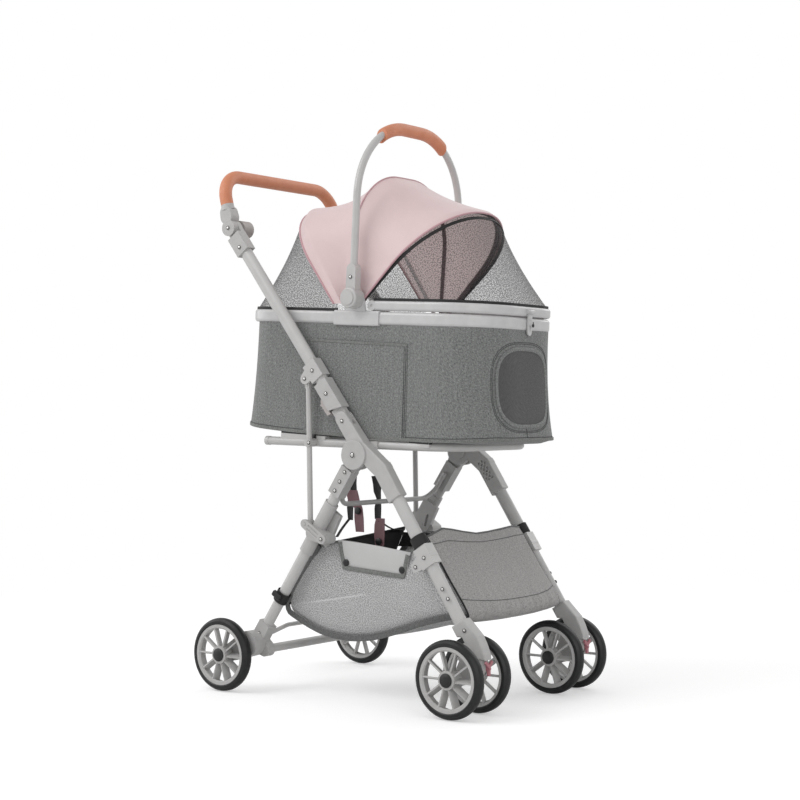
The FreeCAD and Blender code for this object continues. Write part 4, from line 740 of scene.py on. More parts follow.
WHITE = (1.0, 1.0, 1.0, 1.0)
FLOOR_HALF, FLOOR_DROP = 14.0, 0.0005      # half side of the floor, and its gap under the wheels, m
PAPER_REACH, WHITE_REACH = 0.9, 2.2        # the floor fades from paper to plain white between these, m
PAPER_LIFT = 0.36                          # added to the paper where the camera sees it
LAMPS = (("key", (-1.6, -2.6, 3.0), 2.4, 52.0),            # name, place (m), side (m), power (W)
         ("fill", (3.0, -1.8, 1.6), 2.4, 20.0),
         ("side", (-3.0, -0.8, 1.4), 2.0, 14.0),
         ("rim", (0.4, 2.8, 2.4), 2.4, 22.0))
LAMP_AIM = (0.0, 0.0, 0.6)
CAMERA_AHEAD, CAMERA_Y, CAMERA_Z = 2.0383, -2.8110, 0.5790  # ahead of the hub, side and height, m
CAMERA_TILT, CAMERA_TURN = 90.34, 36.35                     # degrees
CAMERA_LENS, CAMERA_FILM = 75.57, 36.0                      # mm


class STROLLER_OT_stage(bpy.types.Operator):
    """Floor, lights and camera"""
    bl_idname = "stroller.stage"
    bl_label = "Stage"

    def execute(self, context):
        scene = context.scene
        scene.view_settings.view_transform = "Standard"
        world = bpy.data.worlds.new("studio")
        scene.world = world
        world.use_nodes = True
        tree = world.node_tree
        tree.nodes.clear()
        sky = add(tree, "ShaderNodeBackground", {"Color": WHITE, "Strength": strength_of_white(tree)})
        out = add(tree, "ShaderNodeOutputWorld", {"Surface": sky.outputs[0]})

        corners = np.array([[-1, -1, 0], [1, -1, 0], [1, 1, 0], [-1, 1, 0]]) * FLOOR_HALF
        corners[:, 2] = -FLOOR_DROP
        material, tree, out = new_material("white_studio_floor")
        rays = add(tree, "ShaderNodeLightPath")
        paper = add(tree, "ShaderNodeBsdfDiffuse", {"Color": linear("#e4e4e4")})
        lifted = ranged(tree, rays.outputs["Is Camera Ray"], 0, 1, 0.0, PAPER_LIFT)
        lift = add(tree, "ShaderNodeEmission", {"Color": WHITE, "Strength": lifted})
        near = add(tree, "ShaderNodeAddShader", {0: paper.outputs[0], 1: lift.outputs[0]})
        white = add(tree, "ShaderNodeEmission", {"Color": WHITE, "Strength": strength_of_white(tree)})
        away = add(tree, "ShaderNodeVectorMath", {0: object_place(tree)}, operation="LENGTH")
        share = ranged(tree, away.outputs["Value"], PAPER_REACH, WHITE_REACH)
        both = add(tree, "ShaderNodeMixShader", {0: share, 1: near.outputs[0], 2: white.outputs[0]})
        tree.links.new(both.outputs[0], out.inputs[0])
        mesh = bpy.data.meshes.new("floor")
        mesh.from_pydata(corners.tolist(), [], [(0, 1, 2, 3)])
        mesh.materials.append(material)
        floor = bpy.data.objects.new("floor", mesh)
        scene.collection.objects.link(floor)

        for name, place, size, power in LAMPS:
            lamp = bpy.data.lights.new(name, "AREA")
            lamp.size = size
            lamp.energy = power
            holder = bpy.data.objects.new(name, lamp)
            scene.collection.objects.link(holder)
            aim = np.array(LAMP_AIM) - np.array(place)
            holder.location = place
            holder.rotation_mode = "QUATERNION"
            holder.rotation_quaternion = Vector(aim).to_track_quat("-Z", "Y")

        lens = bpy.data.cameras.new("camera")
        lens.lens = CAMERA_LENS
        lens.sensor_width = CAMERA_FILM
        lens.clip_end = 60.0
        camera = bpy.data.objects.new("camera", lens)
        scene.collection.objects.link(camera)
        camera.location = (HUB[0] + CAMERA_AHEAD, CAMERA_Y, CAMERA_Z)
        camera.rotation_euler = (math.radians(CAMERA_TILT), 0.0, math.radians(CAMERA_TURN))
        scene.camera = camera
        return {"FINISHED"}


class STROLLER_OT_frame(bpy.types.Operator):
    """Finishes of the tubes, castings and wheels"""
    bl_idname = "stroller.frame"
    bl_label = "Frame finishes"

    def execute(self, context):
        finishes = make_materials(context.scene.stroller_colours)
        by_slot = {"frame_paint": "paint", "grey_plastic": "nylon", "warm_plastic": "nylon_warm",
                   "pink_plastic": "nylon_pink", "black_foam": "tyre", "grey_fabric": "heather",
                   "pink_fabric": "canopy", "black_mesh": "net_black", "tan_leather": "leather"}
        rails = {"lower_rail": "rail", "lid_rail": "rail", "lid_clasp": "rail"}
        for entry in frame["record"]["subparts"]:
            node = frame["nodes"][entry["node"]]
            key = rails.get(entry["node"], by_slot[entry["material_slot"]])
            node.data.materials.clear()
            node.data.materials.append(finishes[key])
        return {"FINISHED"}


CLOTH_LIFT = 6.6           # outside of the canopy cloth, over the hoops' centre lines, mm
REAR_LIFT = 2.4            # more over the rear hoop, whose tube is thicker, mm
REAR_SAG = 2.2             # sag of the rear panel, in shares of the front panel's
LIP_TURN = -2.0            # of the canopy's front edge ahead of its hoop, degrees


def hoop_core():
    """Point inside the canopy that its panels sag towards."""
    return from_tray(HOOP_X, 0.0, HOOP_Z + 40.0)


def hoop_normal(name, turn=0.0):
    """Unit normal of a hoop's plane, pointing rearwards and up."""
    a = math.radians(HOOPS[name][0] + turn)
    return -math.sin(a) * TRAY_AHEAD + math.cos(a) * TRAY_UP


def tape_over(name, hoop, lift, wide, thick, material, body, turn=0.0, start=34.0):
    """Flat tape that runs over a hoop from foot to foot."""
    return swept(name, hoop_line(hoop, lift, start=start, count=161, turn=turn),
                 flat_section(thick, wide), material, body, up=hoop_normal(hoop, turn))


class STROLLER_OT_canopy(bpy.types.Operator):
    """Canopy cloth, its lining, tapes and the piping over the hoops"""
    bl_idname = "stroller.canopy"
    bl_label = "Canopy"

    def execute(self, context):
        make_materials(context.scene.stroller_colours)
        sizes = context.scene.stroller_sizes
        thick = sizes.cloth_thickness / MM
        sag = sizes.canopy_sag / MM
        # The fold names the carrier at the rear and the front hoop at the front, but the cloth is only baked in
        # place and follows neither.
        still, moving = (from_tray(HOOP_X + ahead, 0.0, HOOP_Z) for ahead in (-140.0, 160.0))
        fold = ("carrier", "front_hoop", still, moving)
        core = hoop_core()
        lifts = {"tail": CLOTH_LIFT, "rear": CLOTH_LIFT + REAR_LIFT, "mid": CLOTH_LIFT, "front": CLOTH_LIFT}
        lines = {name: hoop_line(name, lift) for name, lift in lifts.items()}
        lip = hoop_line("front", CLOTH_LIFT + 0.2, turn=LIP_TURN)
        hem = panel(lines["tail"], lines["rear"], 6, 0.0, core)
        back = panel(lines["rear"], lines["mid"], 26, sag * REAR_SAG, core)
        ahead = panel(lines["mid"], lines["front"], 28, sag, core)
        roof = np.concatenate([hem[:-1], back[:-1], ahead, lip[None]])
        shell = cloth_sheet("canopy_roof", roof, "canopy", fold, thick, flip=True)
        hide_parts("canopy")
        lining_gap, lining_thick = 0.8, 0.5
        under = roof + grid_normals(roof) * (thick + lining_gap) * MM
        cloth_sheet("canopy_lining", under[1:-1], "lining", fold, lining_thick, flip=True)
        # Each piping: its name, the line it follows, its turn from that line in degrees, and its radius.
        for name, hoop, turn, radius in (("rear", "tail", 0.2, 2.2), ("mid", "mid", 0.0, 1.5),
                                         ("front", "front", LIP_TURN - 0.1, 2.1)):
            line = hoop_line(hoop, CLOTH_LIFT + 0.4, turn=turn, count=161)
            swept("canopy_piping_" + name, line, round_section(radius, 10), "piping", fold,
                  up=hoop_normal(hoop))
        for hoop, body in (("mid", "mid_hoop"), ("front", "front_hoop")):
            tube = swept(body + "_tube", hoop_line(hoop, start=0.0, count=161),
                         round_section(HOOP_TUBE_R, 14), "tape", body, up=hoop_normal(hoop))
            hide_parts(body)
        tape_over("hoop_tape_rear", "rear", 2.0, 6.0, 2.0, "tape", "carrier")
        tape_over("hoop_tape_mid", "mid", 2.6, 6.5, 2.0, "tape", "mid_hoop")
        tape_over("hoop_tape_front", "front", 2.0, 9.0, 1.6, "tape", "front_hoop", turn=-0.5)
        return {"FINISHED"}


NET_LIFT, NET_SAG = 5.0, 7.0       # of the nets over the hoops' centre lines, and between their edges, mm
NET_INSET = 5.0                    # of the nets' feet inside the rails' ends, mm
NET_HALF = 160.0                   # from the middle to the nets' feet on the rails, mm


class STROLLER_OT_mesh_walls(bpy.types.Operator):
    """Net walls between the hoops and the rails, with their bindings"""
    bl_idname = "stroller.mesh_walls"
    bl_label = "Net walls"

    def wall(self, name, hoop, turn, foot, body, node):
        """One net wall from a hoop down to a line on the rail."""
        top = hoop_line(hoop, NET_LIFT, start=60.0, turn=turn)
        grid = panel(top, foot, 26, NET_SAG, hoop_core())
        piece = cloth_sheet(name, grid, "net_black", body, 0.7, flip=hoop == "front")
        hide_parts(node)
        swept(name + "_binding", foot + TRAY_UP * 1.5 * MM, flat_section(3.0, 6.5), "tape_black",
              body, up=TRAY_UP)
        return grid

    def execute(self, context):
        make_materials(context.scene.stroller_colours)
        count, on_rail = 121, 0.5
        reach, side = bow(RAIL_FRONT - NET_INSET - LID_X, NET_HALF, 113.0, 3.0, count).T
        foot = from_tray(LID_X + reach, side, LID_TOP + on_rail)
        grid = self.wall("front_net", "front", LIP_TURN - 0.4, foot, "lid", "front_mesh")
        swept("front_net_top_binding", grid[1], flat_section(2.0, 7.0), "tape_black", "lid",
              up=hoop_normal("front"))
        reach, side = bow(REAR_NET_X - RAIL_REAR - NET_INSET, NET_HALF, 65.0, 3.0, count).T
        foot = from_tray(REAR_NET_X - reach, side, RAIL_TOP + on_rail)
        self.wall("rear_net", "tail", 0.8, foot, "carrier", "rear_mesh")
        return {"FINISHED"}


def closed_rings(rings, name, material, body):
    """Closed skin over rings of equal count, first and last ring capped."""
    points = np.array(rings)
    return put_mesh(name, points, tube_faces(*points.shape[:2]), material, body, cloth_uv(points))


def oval(half_s, half_z, middle_z, power, count):
    """Superellipse in the tub's run and height: |s / half_s| and |z / half_z| to the power add up to 1."""
    a = np.linspace(0, 2 * math.pi, count, endpoint=False)
    c, d = np.cos(a), np.sin(a)
    return (np.sign(c) * np.abs(c) ** (2 / power) * half_s,
            middle_z + np.sign(d) * np.abs(d) ** (2 / power) * half_z)


def stitch_line(name, path, body="carrier", closed=False):
    """Sewing thread, drawn as one fine dark line: partly the thread's own colour, partly painted shade of the
    groove the stitches press into the padded cloth.
    """
    return swept(name, path, round_section(0.6, 6), "thread", body, closed=closed, up=(0.1, 0.2, 1))


# The side pocket, in tray millimetres: its front edge leans ahead towards the foot.
POCKET_FRONT, POCKET_REAR, POCKET_LEAN = 96.0, -154.0, 7.0
POCKET_TOP, POCKET_FOOT = 198.0, 12.0
# The window in the tub's front: middle and half sizes along the plan and in height, in mm.
WINDOW_RUN, WINDOW_Z = 10.0, 119.0
WINDOW_HALF_RUN, WINDOW_HALF_Z = 85.0, 79.0
WINDOW_POWER = 3.2         # 2 is an ellipse, and more is squarer


class STROLLER_OT_carrier(bpy.types.Operator):
    """Padded cloth tub with its pockets, seams and window"""
    bl_idname = "stroller.carrier"
    bl_label = "Carrier tub"

    def tub(self):
        """Walls outside and in, with the foot's edge turned under the base."""
        count, wall, floor_z, base_z = 360, 9.0, 21.0, 10.9
        middle = from_tray(ROCKER_X, 0.0, base_z)

        def ring(z, lift=0.0):
            return on_tub(tub_half_run(z) * np.linspace(-1, 1, count, endpoint=False), z, lift)

        low = ring(TUB_LOW)
        flat = low - np.outer((low - middle) @ TRAY_UP, TRAY_UP)
        base = [middle + (flat - middle) * share for share in (0.02, 0.5, 0.93)]
        up_outside = (TUB_LOW, 11.0, 16.0, 25.0, 40.0, 65.0, 92.0, 130.0, 170.0, 205.0, TUB_HIGH)
        down_inside = (TUB_HIGH, 205.0, 150.0, 92.0, 50.0, 30.0, floor_z)
        outer = [ring(z) for z in up_outside]
        inner = [ring(z, -wall) for z in down_inside]
        centre = from_tray(ROCKER_X, 0.0, floor_z)
        floor = [centre + (inner[-1] - centre) * share for share in (0.97, 0.5, 0.02)]
        tub = closed_rings(base + outer + inner + floor, "carrier_tub_cloth", "heather", "carrier")
        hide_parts("carrier_tub")
        run = tub_half_run(TUB_LOW) * np.linspace(-1, 1, 240, endpoint=False)
        swept("tub_foot_binding", on_tub(run, TUB_LOW + 2.4, 0.5), flat_section(2.6, 6.5),
              "heather_tape", "carrier", closed=True, up=TRAY_UP)
        stitch_line("tub_foot_stitch", on_tub(run, TUB_LOW + 7.5, 0.2), closed=True)

    def pocket(self, side, sign):
        """Side pocket: its mouth is gathered a little at the rear end."""
        across = np.linspace(0, 1, 90)[None, :]
        down = np.linspace(0, 1, 40)[:, None]
        ahead = POCKET_FRONT + POCKET_LEAN * down
        x = ahead + (POCKET_REAR - ahead) * across
        top = POCKET_TOP + 4.0 * across
        behind = x - POCKET_REAR
        gather = np.exp(-(behind / 30.0) ** 2) * np.exp(-5.0 * down) * np.sin(behind / 2.6)
        z = top + (POCKET_FOOT - top) * down + 1.8 * gather
        puff = 2.4 * np.clip(np.sin(math.pi * across), 0, 1) ** 0.5 * (1 - down) ** 1.5
        lift = 1.6 + puff + 1.3 * gather
        points = on_tub(sign * side_run(x, z), z, lift)
        cloth_sheet("pocket_" + side, points, "heather", "carrier", 1.5, flip=sign < 0)
        hem = points[1] + (points[0] - points[1]) * 0.4
        swept("pocket_hem_" + side, hem, flat_section(2.6, 5.0), "heather_tape", "carrier")
        heights = np.linspace(POCKET_FOOT + 2.0, POCKET_TOP - 2.0, 40)
        leaning = POCKET_FRONT + POCKET_LEAN * (POCKET_TOP - heights) / (POCKET_TOP - POCKET_FOOT)
        for k in range(2):
            front_x = leaning - 4.0 * (k + 0.6)
            stitch_line("pocket_stitch_%s_%d" % (side, k + 1),
                        on_tub(sign * side_run(front_x, heights), heights, 2.1 + 0.2 * k))

    def window(self):
        """Dark net window in the front, under a raised hem with a double seam round it."""
        count = 96

        def ring(share, lift, grow=0.0):
            s, z = oval(WINDOW_HALF_RUN + grow, WINDOW_HALF_Z + grow, WINDOW_Z, WINDOW_POWER, count)
            return on_tub(WINDOW_RUN + s * share, WINDOW_Z + (z - WINDOW_Z) * share, lift)

        face = [ring(share, 1.0) for share in (0.02, 0.3, 0.6, 0.85, 1.0)]
        closed_rings(face + [ring(1.0, -0.6), ring(0.02, -0.6)], "window_net", "net_window", "carrier")
        swept("window_hem", ring(1.0, 1.2), flat_section(8.0, 2.8), "heather", "carrier",
              closed=True, up=TRAY_AHEAD)
        for k, grow in enumerate((10.0, 13.0)):
            stitch_line("window_stitch_%d" % (k + 1), ring(1.0, 0.3, grow), closed=True)
        stitch_line("window_foot_seam", on_tub(WINDOW_RUN, np.linspace(38.0, 14.0, 12), 0.4))

    def execute(self, context):
        make_materials(context.scene.stroller_colours)
        self.tub()
        both_sides(self.pocket)
        self.window()
        return {"FINISHED"}


# Side outlines of the basket, as (ahead of the hub, height) in mm: the hem of its net, the foot's sweep,
# and the nose at its edges and in its middle.  NOSE_TOP is the nose's wavy hem, as (side, height).
BASKET_TOP = ((-112.0, 303.0), (-60.0, 314.0), (25.0, 308.0), (110.0, 302.0), (158.0, 332.0))
BASKET_FOOT = ((-202.0, 178.0), (-198.6, 165.4), (-181.7, 156.0), (-139.0, 138.0), (-97.0, 126.0),
               (-46.7, 121.6), (-8.9, 124.0), (31.0, 130.6), (87.6, 147.5), (134.0, 163.4), (208.0, 182.0),
               (250.0, 184.0))
NOSE_EDGE = ((158.0, 332.0), (170.0, 317.0), (189.0, 288.5), (213.0, 253.0), (241.0, 214.0), (253.0, 195.0),
             (256.0, 186.0), (252.0, 180.0), (240.0, 176.0))
NOSE_MIDDLE = ((159.0, 330.0), (185.0, 295.0), (215.0, 262.0), (245.0, 232.0), (265.5, 209.0),
               (274.0, 197.0), (276.0, 188.0), (270.0, 180.0), (256.0, 173.0), (240.0, 170.0))
NOSE_TOP = ((-165.0, 334.0), (-118.0, 347.0), (-86.0, 343.0), (-51.0, 337.0), (0.0, 330.0), (41.0, 331.0),
            (91.0, 334.0), (130.0, 337.0), (165.0, 334.0))
BASKET_HALF, BASKET_BULGE = 157.0, 6.0     # half width of the net at its hem, and its sides' bulge
NOSE_HALF = 165.0


def side_curve(points, count, smooth=True):
    """(x, z) points of a side outline at even steps."""
    p = np.column_stack([np.asarray(points, float), np.zeros(len(points))])
    return (smooth_path(p, count) if smooth else resample(p, count))[:, :2]


def between(top, foot, share):
    """(x, z) of straight threads from one outline to another: top + (foot - top) * share."""
    line = top[None] + (foot - top)[None] * share[..., None]
    return line[..., 0], line[..., 1]


class STROLLER_OT_basket(bpy.types.Operator):
    """Net basket under the carrier with its bindings, flaps, rear wall and cloth nose"""
    bl_idname = "stroller.basket"
    bl_label = "Basket"

    def net(self):
        """One U-shaped net: down the right side, across the foot and up the left side."""
        top, foot = side_curve(BASKET_TOP, 80), side_curve(BASKET_FOOT, 80)
        down = np.linspace(0, 1, 22)
        round_in = 12.0 * np.clip((down - 0.88) / 0.12, 0, 1) ** 2         # the last eighth turns under
        side_y = round_in - (BASKET_HALF + BASKET_BULGE * np.sin(math.pi * down))
        across = np.linspace(-1, 1, 24)[1:-1]
        share = np.concatenate([down, np.ones(len(across)), down[::-1]])
        y = np.concatenate([side_y, across * -side_y[-1], -side_y[::-1]])
        sag = np.concatenate([0 * down, 5.0 * (1 - across ** 2), 0 * down])
        x, z = between(top, foot, share[:, None])
        points = from_hub(x, np.broadcast_to(y[:, None], x.shape), z - sag[:, None])
        piece = cloth_sheet("basket_net", points, "net_grey", "frame", 1.0, flip=True)
        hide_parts("basket")

    def band(self, name, outline, y, wide, thick, material, smooth=True, count=60):
        """Flat tape along a side outline, standing square to the y axis."""
        line = side_curve(outline, count, smooth)
        path = from_hub(line[:, 0], np.full(count, y), line[:, 1])
        return swept(name, path, flat_section(wide, thick), material, "frame", up=(0, 1, 0))

    def bindings(self, side, sign):
        """Tapes round the net's rear edge, foot and hem."""
        rear = ((-118.0, 303.0), (-207.0, 178.0))
        self.band("basket_rear_binding_" + side, rear, -sign * 159.0, 14.0, 2.4, "tape_grey", False)
        self.band("basket_foot_binding_" + side, BASKET_FOOT, -sign * 157.0, 12.0, 3.0, "tape_grey")
        self.band("basket_top_binding_" + side, BASKET_TOP, -sign * 157.6, 6.0, 2.4, "heather_tape")

    def flap(self, side, sign):
        """Flap over the net's hem: bound on three sides and held by two press studs."""
        top = side_curve(((-66.0, 318.0), (25.0, 311.0), (114.0, 301.0)), 30)
        foot = side_curve(((-52.5, 259.0), (25.0, 253.6), (101.6, 248.5)), 30)
        down = np.linspace(0, 1, 12)[:, None]
        x, z = between(top, foot, down)
        y = -sign * (160.5 + 3.0 * np.sin(math.pi * down ** 0.7)) * np.ones_like(x)
        cloth_sheet("basket_flap_" + side, from_hub(x, y, z), "cloth_pale", "frame", 1.4, flip=sign > 0)
        rim = ((-60.0, 314.0), (-48.5, 263.0), (97.0, 253.0), (108.0, 296.0))
        self.band("basket_flap_binding_" + side, rim, -sign * 163.2, 9.0, 2.2, "heather_tape", False, 90)
        for k, (x, z) in enumerate(((-44.0, 273.0), (95.0, 266.0))):
            turned("basket_stud_%s_%d" % (side, k + 1), from_hub(x, -sign * 163.0, z), (0, -sign, 0),
                   [(7.0, 0.0), (7.0, 2.0), (5.6, 3.0), (0.4, 3.3)], "nylon_black", "frame", 24)

    def rear_wall(self):
        """Black wall that leans rearwards to the net's foot, drawn in a little in its middle."""
        across = np.linspace(-1, 1, 36)[None, :]
        down = np.linspace(0, 1, 20)[:, None]
        top_x = -123.0 - 11.0 * across
        top_z = np.interp(across, (-1, -0.38, 1), (303.0, 308.0, 320.0))
        foot_x, foot_z = BASKET_FOOT[0]
        x = top_x + (foot_x - top_x) * down - 6.0 * np.sin(math.pi * down) * (1 - across ** 2)
        z = top_z + (foot_z - top_z) * down
        y = (BASKET_HALF + 1.0) * across * np.ones_like(down)
        points = from_hub(x, y, z)
        cloth_sheet("basket_rear_wall", points, "cloth_black", "frame", 1.0)
        swept("basket_rear_hem", points[0], flat_section(3.0, 9.0), "tape_black", "frame",
              up=(0.3, 0, 0.9))

    def inner_wall(self, side, sign):
        """Dark lining inside the rear half of each side, from the hem down."""
        top = side_curve(((-134.0, 312.0), (-60.0, 312.0), (20.0, 304.0)), 24)
        foot = side_curve(((-152.0, 280.0), (-60.0, 282.0), (20.0, 280.0)), 24)
        down = np.linspace(0, 1, 10)[:, None]
        x, z = between(top, foot, down)
        y = -sign * (BASKET_HALF - 2.5 + 4.0 * np.sin(math.pi * down * 0.5)) * np.ones_like(x)
        cloth_sheet("basket_lining_" + side, from_hub(x, y, z), "cloth_black", "frame", 0.8, flip=sign > 0)

    def nose(self):
        """Front panel of pale cloth, puffed out over its foot and hung from a wavy hem."""
        rows = 46
        edge, middle = side_curve(NOSE_EDGE, rows), side_curve(NOSE_MIDDLE, rows)
        y = np.linspace(-NOSE_HALF, NOSE_HALF, 80)
        swell = (1 - np.abs(y / NOSE_HALF) ** 2.6)[None, :]
        down = np.linspace(0, 1, rows)[:, None]
        x = edge[:, :1] + (middle - edge)[:, :1] * swell
        z = edge[:, 1:] + (middle - edge)[:, 1:] * swell
        hem = np.interp(y, *np.array(NOSE_TOP).T)[None, :] - z[0][None, :]
        z = z + hem * np.clip(1 - down / 0.3, 0, 1) ** 2
        crumple = np.exp(-((down - 0.80) / 0.10) ** 2) * (0.5 + swell)
        x = x + crumple * (1.6 * np.sin(y / 8.3) + 1.2 * np.sin(y / 3.7 + 2.0))[None, :]
        tilt = np.clip(np.abs(y) / NOSE_HALF - 0.93, 0, 1)[None, :] / 0.07
        x = x - 3.0 * tilt ** 2
        points = from_hub(x, y[None, :] * np.ones_like(x), z)
        piece = cloth_sheet("basket_nose", points, "heather_pale", "frame", 1.6)
        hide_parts("basket_front")
        out = grid_normals(points)
        out *= np.sign(out[..., :1])
        for name, row, radius, material in (("hem", 0, 2.2, "tape_grey"), ("top_seam", 4, 1.3, "tape_grey"),
                                            ("middle_seam", 32, 1.3, "tape_grey")):
            swept("basket_nose_" + name, points[row] + out[row] * MM, round_section(radius, 8),
                  material, "frame", up=(1, 0, 0.3))
        for side, column in (("right", 0), ("left", -1)):
            swept("basket_nose_piping_" + side, points[:, column], round_section(2.0, 8), "tape_black",
                  "frame", up=(0, 1, 0))

    def loops(self, side, sign):
        """Webbing loops round the legs, with a buckle on the rear one."""
        y = -sign * LEG_Y
        turn = np.linspace(0, 2 * math.pi, 40, endpoint=False)[:, None]
        sideways = np.array([0.0, 1.0, 0.0])
        for name, centre, along, half, wide, body in (
                ("front", on_front_leg(196.0, 0.0, y), heading(-LOWER_ANGLE), (17.0, 13.0), 22.0, "frame"),
                ("rear", on_rear_leg(352.0, 0.0, y), heading(180 + REAR_ANGLE), (15.0, 12.5), 24.0,
                 "rear_legs")):
            square = np.cross(along, sideways)
            ring = centre + (np.cos(turn) * square * half[0] + np.sin(turn) * sideways * half[1]) * MM
            swept("leg_loop_%s_%s" % (name, side), ring, flat_section(1.6, wide), "tape_black",
                  body, closed=True, up=along)
        block("leg_buckle_" + side, on_rear_leg(350.0, 3.0, y - sign * 15.0), heading(180 + REAR_ANGLE),
              sideways, (12.0, 8.0, 24.0), "nylon_black", "rear_legs", 1.5)

    def execute(self, context):
        make_materials(context.scene.stroller_colours)
        self.net()
        both_sides(self.bindings)
        both_sides(self.flap)
        self.rear_wall()
        both_sides(self.inner_wall)
        self.nose()
        both_sides(self.loops)
        return {"FINISHED"}


REAR_AXLE_X, FRONT_AXLE_X = -312.6, 252.4                      # ahead of the hub, mm
REAR_HUB_Y, OUTER_HUB_Y, INNER_HUB_Y = 246.5, 240.5, 124.5     # end faces of the wheels' hubs, mm
CAP_R = 13.4
# Rivets on the handle and the front leg, as (along, rear), and along the rear leg, in mm.
HANDLE_RIVETS = ((127.0, 0.0), (126.0, 25.8), (452.0, 0.0), (68.5, 0.0), (505.0, 0.0))
FRONT_LEG_RIVETS = ((231.0, 0.0), (236.0, 27.0), (392.5, -7.0))
REAR_LEG_RIVETS = (41.0, 64.0, 86.0, 445.0)
LOW_LEG_RIVETS = ((213.5, 238.8), (226.4, 221.3))              # low on the front leg: (ahead of hub, height)
SLIDER_RIVET, ROD_RIVET = (-77.0, 204.3, 321.0), (-119.0, 191.3, 513.0)    # (ahead of hub, side, height)
BAIL_RIVET = (-32.0, 188.3, 327.0)                             # in the tray's coordinates
FOLD_RIVET_Y, HUB_BOLT_Y, HUB_BOLT_R = 196.5, 200.8, 5.0


class STROLLER_OT_hardware(bpy.types.Operator):
    """Rivet heads, the hubs' bolts and the wheel caps"""
    bl_idname = "stroller.hardware"
    bl_label = "Hardware"

    def rivet(self, name, place, side_sign, body, radius):
        """Domed steel rivet head in a dark ring, on the outboard face."""
        outward = (0, -side_sign, 0)
        turned(name + "_ring", place, outward, [(radius, -0.4), (radius, 0.25), (radius * 0.72, 0.35)],
               "steel_dark", body, 24)
        r = radius * 0.7
        dome = [(r, 0.0), (r * 0.97, 0.55), (r * 0.7, 1.0), (r * 0.06, 1.15)]
        turned(name, place, outward, dome, "steel", body, 24)

    def rivets(self, side, sign):
        """Rivets of the handle, the legs and the fold's links, then the hub's bolt."""
        radius = bpy.context.scene.stroller_sizes.rivet_radius / MM
        places = []
        for along, rear in HANDLE_RIVETS:
            places.append((on_handle(along, rear, -sign * RIVET_FACE), "handle"))
        for along, rear in FRONT_LEG_RIVETS:
            places.append((on_front_leg(along, rear, -sign * RIVET_FACE), "frame"))
        for along in REAR_LEG_RIVETS:
            places.append((on_rear_leg(along, 0.0, -sign * RIVET_FACE), "rear_legs"))
        for dx, z in LOW_LEG_RIVETS:
            places.append((from_hub(dx, -sign * RIVET_FACE, z), "frame"))
        mirror = np.array([1.0, -sign, 1.0])
        places.append((from_hub(*mirror * SLIDER_RIVET), "slider_" + side))
        places.append((from_hub(*mirror * ROD_RIVET), "rod_" + side))
        places.append((from_tray(*mirror * BAIL_RIVET), "bail"))
        places.append((np.array([FOLD[0], -sign * FOLD_RIVET_Y * MM, FOLD[2]]), "handle"))
        for k, (place, body) in enumerate(places):
            self.rivet("rivet_%s_%02d" % (side, k + 1), place, sign, body, radius)
        hub_face = np.array([HUB[0], -sign * HUB_BOLT_Y * MM, HUB[2]])
        self.rivet("hub_bolt_" + side, hub_face, sign, "rear_legs", HUB_BOLT_R)

    def caps(self, side, sign):
        """Black caps on the axle ends: low discs with a rounded edge, sunk 1 mm into the hubs."""
        shape = [(CAP_R, -1.0), (CAP_R, 1.8), (CAP_R - 1.0, 2.9), (0.5, 3.2)]
        for name, dx, y, out, body in (
                ("rear", REAR_AXLE_X, REAR_HUB_Y, 1, "rear_wheel_" + side),
                ("front_outer", FRONT_AXLE_X, OUTER_HUB_Y, 1, "front_wheels_" + side),
                ("front_inner", FRONT_AXLE_X, INNER_HUB_Y, -1, "front_wheels_" + side)):
            turned("wheel_cap_%s_%s" % (name, side), from_hub(dx, -sign * y, WHEEL_Z), (0, -sign * out, 0),
                   shape, "nylon_black", body, 32)

    def execute(self, context):
        make_materials(context.scene.stroller_colours)
        both_sides(self.rivets)
        both_sides(self.caps)
        return {"FINISHED"}


def ribbon(name, rows, material, body, y=0.0, thick=1.6, count=24):
    """Hanging strap square to y: rows of (rear x, front x, height) down its length, joined straight."""
    rows = np.asarray(rows, float)
    t = np.linspace(0, len(rows) - 1, count)
    rear, front, z = (np.interp(t, np.arange(len(rows)), rows[:, k]) for k in range(3))
    across = np.linspace(0, 1, 5)[None, :]
    x = rear[:, None] + (front - rear)[:, None] * across
    hollow = y + 1.5 * np.sin(math.pi * across) * np.ones_like(x)
    return cloth_sheet(name, from_hub(x, hollow, z[:, None]), material, body, thick, flip=True)


